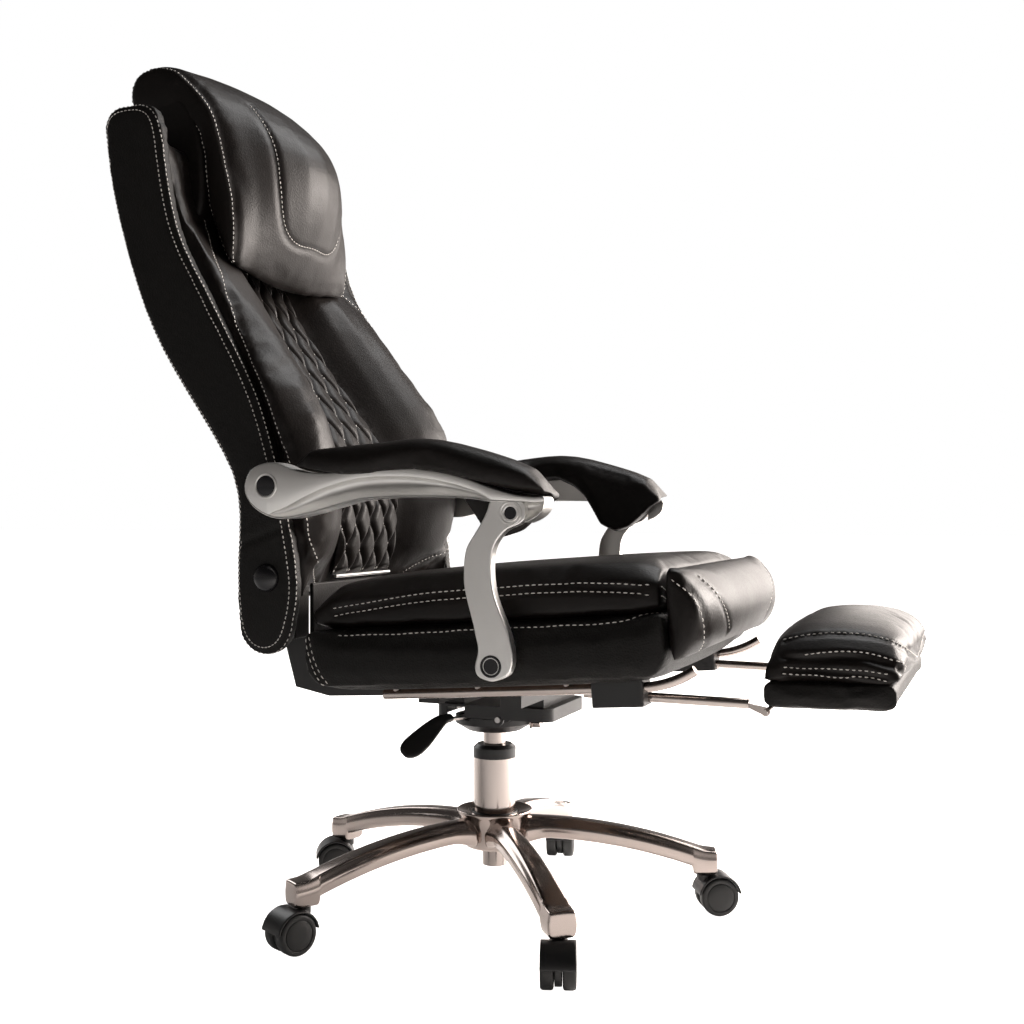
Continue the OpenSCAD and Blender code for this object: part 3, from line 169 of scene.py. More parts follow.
class Finish:
    """One material with a Principled shader."""

    def __init__(self, name, **constants):
        self.material = bpy.data.materials.new(name)
        self.material.use_nodes = True
        self.tree = self.material.node_tree
        self.shader = self.tree.nodes["Principled BSDF"]
        for socket, value in constants.items():
            self.shader.inputs[socket.replace("_", " ")].default_value = value

    def node(self, kind, settings=None, sockets=None, out=0):
        """Adds a node: its settings first, then the values or links of its sockets."""
        made = self.tree.nodes.new(kind)
        for key, value in (settings or {}).items():
            if key == "shades":
                for stop, shade in zip(made.color_ramp.elements, value):
                    stop.color = (*shade, 1)
            else:
                setattr(made, key, value)
        for key, value in (sockets or {}).items():
            if isinstance(value, Value):
                self.tree.links.new(value.socket, made.inputs[key])
            else:
                made.inputs[key].default_value = value
        return Value(self, made.outputs[out])

    def feed(self, socket, value):
        self.tree.links.new(value.socket, self.shader.inputs[socket])

    def place(self):
        return self.node("ShaderNodeTexCoord", out="Object")

    def noise(self, scale, detail=3.0, rough=0.5, stretch=(1, 1, 1)):
        """Soft random cloud between 0 and 1. Scale counts its features in a metre."""
        spot = self.node("ShaderNodeMapping", None, {"Vector": self.place(), "Scale": stretch})
        return self.node("ShaderNodeTexNoise", None,
                         {"Vector": spot, "Scale": scale, "Detail": detail, "Roughness": rough})

    def cells(self, scale):
        return self.node("ShaderNodeTexVoronoi", None, {"Vector": self.place(), "Scale": scale},
                         out="Distance")

    def blend(self, share, dark, light):
        """A colour between two, by a share from 0 to 1."""
        return self.node("ShaderNodeValToRGB", {"shades": (dark, light)}, {"Fac": share}, out="Color")

    def bump(self, height, strength, distance):
        self.feed("Normal", self.node(
            "ShaderNodeBump", None,
            {"Height": height, "Strength": strength, "Distance": distance}, out="Normal"))


print("finish maker ready")

# %% [markdown]
# ## Leather
# The cover is coated cowhide, almost black, with a brown undertone where the light is strong. Real
# grain is a net of pebbles about 2 mm across, cut by finer creases, and its gloss changes in patches
# where hands and clothes have rubbed. Cells make the pebbles, and three clouds make the creases, the
# slow waves and the patches.

# %% Leather
def leather(name, dark, light, rough, grain=1.0):
    made = Finish(name, Specular_IOR_Level=0.22)
    pebbles = made.cells(scale=430.0)
    creases = made.noise(scale=950.0, detail=2.0, rough=0.6)
    patches = made.noise(scale=14.0, detail=4.0, rough=0.55)
    waves = made.noise(scale=34.0, detail=2.0)
    made.feed("Base Color", made.blend(patches * 0.75 + pebbles * 0.3, dark, light))
    made.feed("Roughness", patches * 0.16 + (rough - 0.1) + pebbles * 0.1)
    made.bump(pebbles * 0.75 + creases * 0.3 + waves * 1.6, 0.5 * grain, 0.0006)
    return made.material


hide = leather("black leather", (0.0035, 0.003, 0.0028), (0.010, 0.0078, 0.007), rough=0.46)
hide_smooth = leather("black leather, stretched", (0.004, 0.0033, 0.003), (0.012, 0.009, 0.008),
                      rough=0.40, grain=0.7)
hide_back = leather("black leather, panels", (0.0035, 0.0033, 0.003), (0.009, 0.008, 0.0072),
                    rough=0.50, grain=2.2)
print("leathers", hide.name, hide_smooth.name, hide_back.name)

# %% [markdown]
# ## Thread, metal, plastic and wood
# The stitches are thick waxed thread. The base and tube are polished to a warm mirror, the arms are
# brushed to a soft grey, and the casters are moulded nylon with a faint spark-eroded texture.

# %% Thread
thread_finish = Finish("waxed thread", Roughness=0.6)
strands = thread_finish.noise(scale=1400.0, detail=1.0)
thread_finish.feed("Base Color", thread_finish.blend(strands, (0.60, 0.575, 0.54), (0.86, 0.83, 0.79)))
thread_finish.bump(strands, strength=0.4, distance=0.0003)
thread = thread_finish.material
print("thread", thread.name)


# %% Metals
def metal(name, dark, light, rough, spread, stretch=(1, 1, 1), scale=60.0, dents=0.03):
    made = Finish(name, Metallic=1.0)
    cloud = made.noise(scale, rough=0.6, stretch=stretch)
    soil = made.noise(scale=9.0)
    made.feed("Base Color", made.blend(soil * 0.8 + cloud * 0.2, dark, light))
    made.feed("Roughness", cloud * spread + soil * spread + (rough - spread))
    made.bump(cloud, dents, distance=0.0004)
    return made.material


polished = metal("polished aluminium", (0.44, 0.375, 0.345), (0.52, 0.455, 0.425),
                 rough=0.17, spread=0.03, dents=0.01)
chrome = metal("chrome", (0.46, 0.40, 0.37), (0.56, 0.50, 0.47), rough=0.15, spread=0.04)
satin = metal("satin aluminium", (0.74, 0.73, 0.71), (0.86, 0.85, 0.83),
              rough=0.36, spread=0.05, stretch=(1, 0.04, 1), scale=900.0, dents=0.05)
bright_steel = metal("brushed steel", (0.45, 0.43, 0.42), (0.6, 0.58, 0.56), rough=0.3, spread=0.08)
print("metals", polished.name, chrome.name, satin.name, bright_steel.name)


# %% Plastics and paint
def moulded(name, dark, light, rough, grain):
    made = Finish(name, Specular_IOR_Level=0.5)
    speckle = made.noise(scale=1800.0, detail=2.0, rough=0.6)
    cloud = made.noise(scale=25.0)
    made.feed("Base Color", made.blend(cloud, dark, light))
    made.feed("Roughness", cloud * 0.12 + speckle * 0.06 + (rough - 0.08))
    made.bump(speckle, grain, distance=0.0002)
    return made.material


plastic = moulded("black nylon", (0.007, 0.007, 0.0075), (0.014, 0.014, 0.015), rough=0.34, grain=0.25)
tread = moulded("caster tread", (0.012, 0.012, 0.012), (0.022, 0.022, 0.022), rough=0.5, grain=0.4)
painted = moulded("painted steel", (0.010, 0.010, 0.011), (0.022, 0.021, 0.021), rough=0.38, grain=0.5)
shiny_cap = moulded("glossy cap", (0.005, 0.005, 0.006), (0.009, 0.009, 0.011), rough=0.2, grain=0.05)
print("moulded", plastic.name, tread.name, painted.name, shiny_cap.name)

# %% Wood and floor
FLOOR_GLOW, FLOOR_SEEN_GLOW = 0.12, 1.08
wood_finish = Finish("stained ply", Roughness=0.6)
rings = wood_finish.noise(scale=45.0, detail=4.0, rough=0.6, stretch=(1, 0.12, 1))
wood_finish.feed("Base Color", wood_finish.blend(rings, (0.030, 0.018, 0.011), (0.060, 0.036, 0.022)))
wood_finish.bump(rings, strength=0.2, distance=0.0004)
wood = wood_finish.material
floor_finish = Finish("pale floor", Roughness=0.6, Specular_IOR_Level=0.15,
                      Emission_Color=(1, 0.98, 0.96, 1))
cloud = floor_finish.noise(scale=0.6)
floor_finish.feed("Base Color", floor_finish.blend(cloud, (0.93, 0.93, 0.93), (0.97, 0.97, 0.97)))
seen = floor_finish.node("ShaderNodeLightPath", out="Is Camera Ray")
floor_finish.feed("Emission Strength", seen * FLOOR_SEEN_GLOW + FLOOR_GLOW)
floor.data.materials.append(floor_finish.material)
print("wood and floor ready")

# %% [markdown]
# ## Finishes on the solids
# Every solid whose shape is right only gets its finish. The slot names of the record say which.

# %% Dress the solids
BY_SLOT = {"base": polished, "chrome": chrome, "satin": satin, "steel": painted, "bright": bright_steel,
           "plastic": plastic, "tread": tread, "leather": hide, "board": wood}
slot_of = {part["node"]: part["material_slot"] for part in frame["record"]["subparts"]}


def dress(piece, material):
    """Puts one finish on all of a piece."""
    piece.data.materials.clear()
    piece.data.materials.append(material)


for node, solid in frame["nodes"].items():
    dress(solid, BY_SLOT[slot_of[node]])
print("slots", sorted(set(slot_of.values())))

# %% [markdown]
# ## Tools for soft work
# A cushion is made as an upholsterer makes it: the form is cut a little small, then stuffed. The
# form is a merged copy of the solid, remeshed into even squares, and the Cloth solver blows it up
# until the leather is tight. Seams, welts and threads come after, because remeshing erases them.

# %% Mesh helpers
def pick(piece):
    bpy.ops.object.select_all(action="DESELECT")
    piece.select_set(True)
    bpy.context.view_layer.objects.active = piece


def finish_with(piece, kind, **settings):
    """Adds one modifier and applies it."""
    tool = piece.modifiers.new(kind.lower(), kind)
    for key, value in settings.items():
        setattr(tool, key, value)
    pick(piece)
    bpy.ops.object.modifier_apply(modifier=tool.name)
    return piece


def soften(piece, rounds):
    finish_with(piece, "SMOOTH", factor=0.5, iterations=rounds)


def in_edit_mode(piece, *steps):
    """Runs edit-mode operators on all of a piece."""
    pick(piece)
    bpy.ops.object.mode_set(mode="EDIT")
    bpy.ops.mesh.select_all(action="SELECT")
    for step, settings in steps:
        getattr(bpy.ops.mesh, step)(**settings)
    bpy.ops.object.mode_set(mode="OBJECT")


OUTWARD = ("normals_make_consistent", {"inside": False})


def merged(threshold):
    return ("remove_doubles", {"threshold": threshold})


def points_of(piece, what="co"):
    """The place of every vertex, or its normal."""
    flat = np.empty(len(piece.data.vertices) * 3)
    piece.data.vertices.foreach_get(what, flat)
    return flat.reshape(-1, 3)


def set_points(piece, points):
    piece.data.vertices.foreach_set("co", np.ascontiguousarray(points).ravel())
    piece.data.update()


def piece_from(name, points, edges, faces):
    mesh = bpy.data.meshes.new(name)
    mesh.from_pydata([tuple(p) for p in points], edges, faces)
    mesh.update()
    return linked(bpy.data.objects.new(name, mesh))


def copy_of(node, name):
    """A merged copy of a solid, as the start of a softer form."""
    piece = linked(bpy.data.objects.new(name, frame["nodes"][node].data.copy()))
    piece.data.materials.clear()
    in_edit_mode(piece, merged(0.00002), OUTWARD)
    if piece.data.has_custom_normals:
        bpy.ops.mesh.customdata_custom_splitnormals_clear()
    return piece


def smooth_shade(piece, angle=None):
    pick(piece)
    if angle is None:
        bpy.ops.object.shade_smooth()
    else:
        bpy.ops.object.shade_smooth_by_angle(angle=math.radians(angle))


def again(piece, name):
    """A second piece with a mesh of its own."""
    made = linked(piece.copy())
    made.data = piece.data.copy()
    made.name = name
    return made


def mirror_of(piece, name):
    """The same piece for the chair's other side."""
    twin = again(piece, name)
    set_points(twin, points_of(twin) * (-1, 1, 1))
    twin.data.flip_normals()
    return twin


print("mesh helpers ready")

# %% Stuffing a cushion
STUFF_FRAMES, STUFF_PRESSURE, STUFF_QUALITY = 20, 4.0, 3
TINY = 1e-9


def skin(piece):
    mesh = piece.data
    return BVHTree.FromPolygons([v.co for v in mesh.vertices], [p.vertices for p in mesh.polygons])


def eased(distance, run):
    """From 0 to 1 over a run."""
    return np.clip(distance / run, 0, 1)


def stuff(piece, voxel=0.006, relax=8, cap=0.008, hold=0.75, after=3, slack=0.004):
    """Remeshes a form, rounds it, takes it in by the slack and blows it up again with Cloth.
    Hold says how much of the rounding is taken back towards the form that it came from, and cap
    how far the solver may move a point."""
    form = skin(piece)
    finish_with(piece, "REMESH", mode="VOXEL", voxel_size=voxel)
    soften(piece, relax)
    points = points_of(piece)
    near = np.array([form.find_nearest(Vector(p))[0][:] for p in points])
    set_points(piece, points + (near - points) * hold)
    soften(piece, 2)
    before = points_of(piece) - points_of(piece, "normal") * slack
    set_points(piece, before)
    cloth = piece.modifiers.new("cloth", "CLOTH")
    cloth.settings.use_pressure = True
    cloth.settings.uniform_pressure_force = STUFF_PRESSURE
    cloth.settings.effector_weights.gravity = 0
    cloth.settings.quality = STUFF_QUALITY
    cloth.point_cache.frame_end = STUFF_FRAMES
    for moment in range(1, STUFF_FRAMES + 1):
        bpy.context.scene.frame_set(moment)
    blown = piece.evaluated_get(bpy.context.evaluated_depsgraph_get())
    full = np.array([v.co[:] for v in blown.data.vertices])
    piece.modifiers.remove(cloth)
    bpy.context.scene.frame_set(1)
    move = full - before
    length = np.linalg.norm(move, axis=1, keepdims=True)
    set_points(piece, before + move * np.minimum(1, cap / np.maximum(length, TINY)))
    soften(piece, after)
    smooth_shade(piece)
    return piece


print("stuffing ready")

# %% [markdown]
# ## Seams
# A seam is a groove where two skins meet, with a row of thread beside it. A line is drawn on the
# piece, the vertices near it sink, and the stitches lie on the sunk skin. Where a line was measured
# in the picture, a ray through that pixel finds its place on the piece.

# %% Lines on a surface
def smooth_line(points, steps=8, closed=False):
    """A smooth curve through a few points."""
    points = [np.array(p, float) for p in points]
    count = len(points)
    made = []
    for i in range(count if closed else count - 1):
        a, b, c, d = (points[k % count] if closed else points[min(max(k, 0), count - 1)]
                      for k in (i - 1, i, i + 1, i + 2))
        for t in np.arange(steps) / steps:
            made.append((b * 2 + (c - a) * t + (a * 2 - b * 5 + c * 4 - d) * t ** 2
                         + (b * 3 - a - c * 3 + d) * t ** 3) / 2)
    if not closed:
        made.append(points[-1])
    return np.array(made)


def evenly(line, step, closed=False):
    """The same line with its points a step apart."""
    line = np.array(line, float)
    if closed:
        line = np.vstack([line, line[:1]])
    run = np.concatenate([[0], np.cumsum(np.linalg.norm(np.diff(line, axis=0), axis=1))])
    count = max(2, int(round(run[-1] / step)) + 1)
    marks = np.linspace(0, run[-1], count)
    made = np.stack([np.interp(marks, run, line[:, k]) for k in range(3)], axis=1)
    return made[:-1] if closed else made


def calm(line, rounds=30, closed=False):
    """Takes the small wobbles out of a line. The ends of an open line stay."""
    line = np.array(line, float)
    for _ in range(rounds):
        soft = (np.roll(line, 1, 0) + line * 2 + np.roll(line, -1, 0)) / 4
        if not closed:
            soft[[0, -1]] = line[[0, -1]]
        line = soft
    return line


def lay(tree, line, rounds=3, closed=False):
    """Lays a line on the nearest skin and gives its points and normals, both without wobbles."""
    spots = calm([tree.find_nearest(Vector(point))[0] for point in line], rounds, closed)
    found = [tree.find_nearest(Vector(spot)) for spot in spots]
    ups = calm([up for _, up, _, _ in found], rounds, closed)
    return np.array([spot for spot, _, _, _ in found]), ups / np.linalg.norm(ups, axis=1, keepdims=True)


def along(line, closed=False):
    """The direction of a line at each of its points."""
    way = np.roll(line, -1, 0) - np.roll(line, 1, 0) if closed else np.gradient(line, axis=0)
    return way / np.maximum(np.linalg.norm(way, axis=1, keepdims=True), TINY)


def seen_on(tree, pixels):
    """Where rays through pixels of the picture meet a piece."""
    aside = Vector((ahead.y, -ahead.x, 0))
    found = []
    for px, py in pixels:
        ray = ahead + aside * ((px - IMAGE_SIDE / 2) / LENS_PIXELS)
        ray += Vector((0, 0, 1)) * ((IMAGE_SIDE / 2 - py) / LENS_PIXELS)
        spot, _, _, _ = tree.ray_cast(EYE, ray.normalized())
        if spot is not None:
            found.append(spot[:])
    return np.array(found)


SEAM_STEP = 0.004


def traced(tree, pixels, rounds=30):
    """A seam on a piece, through pixels of the picture."""
    return calm(evenly(smooth_line(seen_on(tree, pixels), 6), SEAM_STEP), rounds)


def section(piece, point, normal):
    """The longest loop where a plane cuts a piece. It starts and ends at its lowest point and
    always turns the same way, so that thread beside it keeps to one side."""
    book = bmesh.new()
    book.from_mesh(piece.data)
    cut = bmesh.ops.bisect_plane(book, geom=book.verts[:] + book.edges[:] + book.faces[:],
                                 plane_co=point, plane_no=normal)
    edges = [e for e in cut["geom_cut"] if isinstance(e, bmesh.types.BMEdge)]
    loops = []
    while edges:
        edge = edges.pop()
        chain = [edge.verts[0], edge.verts[1]]
        growing = True
        while growing:
            growing = False
            for link in chain[-1].link_edges:
                if link in edges:
                    edges.remove(link)
                    chain.append(link.other_vert(chain[-1]))
                    growing = True
                    break
        loops.append(np.array([v.co[:] for v in chain]))
    book.free()
    loop = max(loops, key=len)[:-1]
    if np.dot(np.cross(loop, np.roll(loop, -1, 0)).sum(0), normal) > 0:
        loop = loop[::-1]
    loop = np.roll(loop, -np.lexsort(loop.T)[0], 0)
    return np.vstack([loop, loop[:1]])


print("line helpers ready")


# %% Grooves, stitches and welts
GROOVE_STEP = 0.0015


def groove(piece, lines, width, depth):
    """Sinks the skin along lines."""
    points, ups = points_of(piece), points_of(piece, "normal")
    dense = np.vstack([evenly(line, GROOVE_STEP) for line in lines])
    low, high = dense.min(0) - width, dense.max(0) + width
    near = np.where(((points > low) & (points < high)).all(1))[0]
    tree = KDTree(len(dense))
    for k, spot in enumerate(dense):
        tree.insert(spot, k)
    tree.balance()
    for k in near:
        away = tree.find(points[k])[2]
        if away < width:
            points[k] -= ups[k] * depth * (1 - (away / width) ** 2) ** 2
    set_points(piece, points)


STITCH_RINGS = ((-0.5, 0.25, -0.5), (-0.3, 0.9, 0.35), (0.0, 1.0, 0.6), (0.3, 0.9, 0.35),
                (0.5, 0.25, -0.5))
STITCH_SIDES = 6


def stitches(name, tree, lines, pitch=0.007, length=0.0046, radius=0.0007, shift=0.0, closed=False):
    """Rows of thread on a skin. Shift moves a row sideways from its line."""
    spots, faces = [], []
    for line in lines:
        marks, ups = lay(tree, evenly(line, pitch, closed), closed=closed)
        if shift:
            aside = np.cross(ups, along(marks, closed))
            marks, ups = lay(tree, marks + aside * shift, closed=closed)
        for mark, up, run in zip(marks, ups, along(marks, closed)):
            spot, up = Vector(mark), Vector(up)
            side = up.cross(Vector(run)).normalized()
            run = side.cross(up)
            base = len(spots)
            for share, thick, lift in STITCH_RINGS:
                for k in range(STITCH_SIDES):
                    turn = 2 * math.pi * k / STITCH_SIDES
                    spots.append(spot + run * share * length
                                 + side * math.cos(turn) * thick * radius
                                 + up * (math.sin(turn) * thick + lift) * radius)
            for r in range(len(STITCH_RINGS) - 1):
                for k in range(STITCH_SIDES):
                    a, b = base + r * STITCH_SIDES + k, base + r * STITCH_SIDES + (k + 1) % STITCH_SIDES
                    faces.append((a, b, b + STITCH_SIDES, a + STITCH_SIDES))
            last = base + (len(STITCH_RINGS) - 1) * STITCH_SIDES
            faces.append(tuple(base + k for k in reversed(range(STITCH_SIDES))))
            faces.append(tuple(last + k for k in range(STITCH_SIDES)))
    row = piece_from(name, spots, [], faces)
    dress(row, thread)
    smooth_shade(row)
    return row


def tube(name, line, radius, closed=False):
    """A round cord along a line, made as a bevelled curve and turned into a mesh."""
    wire = bpy.data.curves.new(name, "CURVE")
    wire.dimensions = "3D"
    wire.bevel_depth = radius
    wire.bevel_resolution = 4
    wire.use_fill_caps = not closed
    run = wire.splines.new("POLY")
    run.points.add(len(line) - 1)
    for knot, spot in zip(run.points, line):
        knot.co = (*spot, 1)
    run.use_cyclic_u = closed
    pick(linked(bpy.data.objects.new(name, wire)))
    bpy.ops.object.convert(target="MESH")
    cord = bpy.context.object
    cord.name = name
    smooth_shade(cord)
    return cord


def both(line):
    """A line and its mirror on the chair's other side."""
    return [np.array(line), np.array(line) * (-1, 1, 1)]


SIDES = ("right", "left")


def body_of(node):
    """The body that a solid rides on."""
    return next(body for body, nodes in frame["record"]["behaviour"]["bodies"].items() if node in nodes)


def belongs(piece, body, material=None):
    """Names the body that a piece rides on and its finish."""
    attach(piece, body)
    if material:
        dress(piece, material)
    return piece


def stands_for(piece, node, material):
    """Lets a piece take the place of a solid."""
    belongs(piece, body_of(node), material)
    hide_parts(node)


def sewn(name, tree, line, body, **settings):
    """A row of thread on the chair's right side, and its mirror on the left."""
    row = belongs(stitches(name, tree, [line], **settings), body)
    belongs(mirror_of(row, name.replace("right", "left")), body)


print("seam helpers ready")

# %% [markdown]
# ## Headrest
# The headrest is a fat pillow: two flat gussets at the sides, a wide cover between them, and a
# centre panel whose seam runs down the front and turns in a round corner. The plane of a gusset's
# edge cuts the pillow in the seam's own line, so the seam is found by a section, not by drawing it.

# %% Headrest pillow
headrest = copy_of("headrest", "headrest_pillow")
SEAM_IN = 0.012
MIDDLE_GAP = 0.006
gusset_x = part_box("headrest")[1].x - SEAM_IN
gusset_seam = calm(evenly(section(headrest, (-gusset_x, 0, 0), (1, 0, 0)), SEAM_STEP), 4)
stuff(headrest, relax=10, cap=0.004, slack=0.002)
tree = skin(headrest)
CENTRE_SEAM = [(215, 75), (232, 86), (250, 105), (263, 123), (272, 140), (277, 160), (279, 180),
               (281, 205), (283, 225), (286, 236), (291, 243), (300, 248), (310, 250), (322, 247),
               (330, 237)]
half_seam = smooth_line(seen_on(tree, CENTRE_SEAM), 6)
half_seam = half_seam[half_seam[:, 0] < -MIDDLE_GAP]
centre_seam = calm(evenly(np.vstack([half_seam, half_seam[::-1] * (-1, 1, 1)]), SEAM_STEP), 14)
print("centre seam from", np.round(centre_seam[0], 3), "to", np.round(centre_seam[-1], 3))
groove(headrest, both(gusset_seam) + [centre_seam], 0.009, 0.003)
stands_for(headrest, "headrest", hide_smooth)
tree = skin(headrest)
right_seam, left_seam, centre_seam = (lay(tree, line)[0] for line in both(gusset_seam) + [centre_seam])
for name, line, shift in (("headrest_thread_right", right_seam, 0.0045),
                          ("headrest_thread_left", left_seam, 0.0045),
                          ("headrest_thread_centre", centre_seam, 0.003)):
    belongs(stitches(name, tree, [line], shift=shift), "back")
print("headrest", len(headrest.data.vertices))

# %% [markdown]
# ## The back's own lines
# The back leans in a long S. The CAD model draws it from a few shares of its height, and the seams
# need the same line, so the shares are repeated here and smoothed in the same way.

# %% Lines of the back
BACK_RISE, BACK_LEAN = 0.718, 0.262
HINGE_Y, HINGE_Z = 0.226, 0.423
LEVEL = BACK_RISE / 36
HEEL_R, PANEL_TOP_R, PANEL_DEEP = 0.043, 0.030, 0.098
PANEL_FACE_X = 0.25
REAR_SHARES = [(0.17, 0), (0.19, 0.1), (0.19, 0.23), (0.294, 0.323), (0.716, 0.557), (0.964, 0.816),
               (1.03, 1)]
FRONT_SHARES = [(-0.2, 0.047), (-0.157, 0.174), (0.03, 0.415), (0.316, 0.608), (0.539, 0.765),
                (0.646, 0.999)]
QUILT_SHARES = [(-0.055, 0.06), (-0.109, 0.149), (-0.125, 0.221), (-0.023, 0.346), (0.165, 0.443),
                (0.366, 0.551), (0.587, 0.684), (0.64, 0.78), (0.66, 0.98)]
QUILT_WIDTHS = [(0.05, 0.96), (0.34, 1), (0.66, 0.76), (0.75, 0.7)]
QUILT_HALF, QUILT_BED = 0.093, 0.014


def back_line(shares):
    line = smooth_line([(0, y * BACK_LEAN, z * BACK_RISE) for y, z in shares], 6)
    return lambda z: np.interp(z, line[:, 2], line[:, 1])


rear_y, front_y, quilt_y = back_line(REAR_SHARES), back_line(FRONT_SHARES), back_line(QUILT_SHARES)


def quilt_half(z):
    return QUILT_HALF * np.interp(np.asarray(z) / BACK_RISE, *zip(*QUILT_WIDTHS))


def face_y(z):
    """The cushion's flat middle, which the quilt lies on."""
    marks = np.arange(2, 35, 2) * LEVEL
    return np.interp(z, marks, quilt_y(marks) + QUILT_BED)


def side_outline(rear_in, front_in):
    """The outline of a side panel, drawn inside its rear and front edges."""
    top = BACK_RISE - PANEL_TOP_R
    up = np.linspace(0, top, 60)
    line = [(rear_y(z), z) for z in up]
    for first, depth in ((0, PANEL_TOP_R), (90, PANEL_DEEP - PANEL_TOP_R)):
        for turn in np.radians(np.arange(first, first + 91, 15)):
            line.append((rear_y(top) - depth + PANEL_TOP_R * math.cos(turn),
                         top + PANEL_TOP_R * math.sin(turn)))
    for z in up[::-1]:
        share = min(z / 0.04, 1)
        line.append((-HEEL_R * (1 - share) + front_y(z) * share, z))
    line += [(HEEL_R * math.cos(a), HEEL_R * math.sin(a)) for a in np.radians(np.arange(190, 355, 8))]
    line = evenly([(0, HINGE_Y + y, HINGE_Z + z) for y, z in line], 0.006, closed=True)
    line = calm(line, 6, closed=True)
    run = along(line, closed=True)
    inward = np.stack([0 * run[:, 0], -run[:, 2], run[:, 1]], axis=1)
    return line + inward * (rear_in + (front_in - rear_in) * (inward[:, 1:2] + 1) / 2)


print("back lines", round(float(rear_y(0.3)), 4), round(float(front_y(0.3)), 4))

# %% [markdown]
# ## Side panels
# Each side of the back is a leather-covered board with a round lower end. Its flat face is edged
# all round by a welt seam with white thread on both sides, and a second skin with the knob starts
# at a seam above the round end. The right one is made first, and its mirror is the left one.

# %% Side panels
REAR_SEAM_IN, FRONT_SEAM_IN = 0.003, 0.009
PANEL_PITCH = 0.0068
panel_right = stuff(copy_of("side_panel_right", "side_cover_right"), voxel=0.004, relax=3, cap=0.003,
                    slack=0.002, after=1)
tree = skin(panel_right)
outline = side_outline(REAR_SEAM_IN, FRONT_SEAM_IN)
outline[:, 0] = -PANEL_FACE_X
face_seam = lay(tree, outline, 0)[0]
SPLIT_SEAM = [(239, 545), (254, 539), (270, 532), (281, 528), (292, 526)]
split_seam = traced(tree, SPLIT_SEAM, 6)
groove(panel_right, [np.vstack([face_seam, face_seam[:1]])], 0.006, 0.0022)
groove(panel_right, [split_seam], 0.007, 0.0026)
tree = skin(panel_right)
for name, shift in (("side_thread_right_in", -0.0048), ("side_thread_right_out", 0.005)):
    sewn(name, tree, face_seam, "back", pitch=PANEL_PITCH, shift=shift, closed=True)
for side, cover in zip(SIDES, (panel_right, mirror_of(panel_right, "side_cover_left"))):
    stands_for(cover, "side_panel_" + side, hide_back)
print("side panel", len(panel_right.data.vertices), "seam points", len(face_seam))

# %% [markdown]
# ## Back cushion
# The cushion is one padded form with a tall bolster on each side of the sitter. The bolster's cover
# is joined to the flat side of the cushion by a seam that starts under the headrest and runs down to
# the seat. The middle stays flat, because the quilted panel lies there.

# %% Back cushion
UNDER_QUILT = 0.0005
BOLSTER_IN, PANEL_IN_X, BOLSTER_OUT, BLEND, BOLSTER_FOOT = 0.200, 0.2297, 0.2465, 0.012, 0.06
SAG, SAG_HIGH, SAG_RUN = 0.022, 0.075, 0.035
back_cushion = stuff(copy_of("back_cushion", "back_cover"))
points = points_of(back_cushion)
height = points[:, 2] - HINGE_Z
floor_y = HINGE_Y + face_y(height) - UNDER_QUILT
under_quilt = (np.abs(points[:, 0]) < quilt_half(height)) & (points[:, 1] < floor_y)
points[under_quilt, 1] = floor_y[under_quilt]
away = np.abs(points[:, 0])
free = eased(HINGE_Y + front_y(height) - points[:, 1], BLEND) * (height > BOLSTER_FOOT)
wide = BOLSTER_IN + (away - BOLSTER_IN) * (BOLSTER_OUT - BOLSTER_IN) / (PANEL_IN_X - BOLSTER_IN)
points[:, 0] = np.sign(points[:, 0]) * np.where(away > BOLSTER_IN, away + (wide - away) * free, away)
points[:, 2] -= SAG * eased(SAG_HIGH - height, SAG_RUN)
set_points(back_cushion, points)
soften(back_cushion, 2)
BOLSTER_SEAM = [(199, 200), (210, 230), (222, 270), (235, 308), (248, 348), (265, 388), (280, 425),
                (291, 455), (302, 487), (311, 518), (315, 550), (317, 580), (315, 602)]
bolster_seam = traced(skin(back_cushion), BOLSTER_SEAM)
groove(back_cushion, both(bolster_seam), 0.008, 0.003)
stands_for(back_cushion, "back_cushion", hide_smooth)
sewn("bolster_thread_right", skin(back_cushion), bolster_seam, "back", pitch=PANEL_PITCH, shift=-0.005)
print("back cushion", len(back_cushion.data.vertices), "seam points", len(bolster_seam))

# %% [markdown]
# ## Quilted panel
# The middle of the back is quilted in long diamonds. Every diamond is a small pillow held down by
# crossed rows of thread. A flat grid is laid over the cushion's middle and each point is raised by
# how far it stands from the nearest row, which gives the pillows their round tops and sharp valleys.

# %% Quilted panel
QUILT_FOOT, QUILT_HEAD = 3 * LEVEL, 26 * LEVEL
QUILT_COLUMNS, QUILT_ROWS = 4, 6
QUILT_SKIN, QUILT_EDGE_IN, QUILT_LIFT, TUFT = 0.004, 0.002, 0.0003, 0.0095
SIDE_SLOPE, END_SLOPE = 12, 24
bpy.ops.object.select_all(action="DESELECT")
bpy.ops.mesh.primitive_grid_add(x_subdivisions=110, y_subdivisions=250, size=1)
quilt = bpy.context.object
quilt.name = "quilt_cover"


def quilt_spot(u, v):
    """A point of the quilt from its shares across and up."""
    z = QUILT_FOOT + (QUILT_HEAD - QUILT_FOOT) * v
    rows = [np.abs(np.sin(np.pi * (QUILT_COLUMNS * u + way * QUILT_ROWS * v))) for way in (1, -1)]
    pillow = (1 - (1 - rows[0]) ** 2.2) * (1 - (1 - rows[1]) ** 2.2)
    edge = (np.clip((1 - np.abs(2 * u - 1)) * SIDE_SLOPE, 0, 1)
            * np.clip((1 - np.abs(2 * v - 1)) * END_SLOPE, 0, 1))
    rise = QUILT_SKIN + TUFT * pillow ** 0.8 * edge
    return np.stack([(2 * u - 1) * (quilt_half(z) - QUILT_EDGE_IN),
                     HINGE_Y + face_y(z) - QUILT_LIFT - rise, HINGE_Z + z], axis=-1)


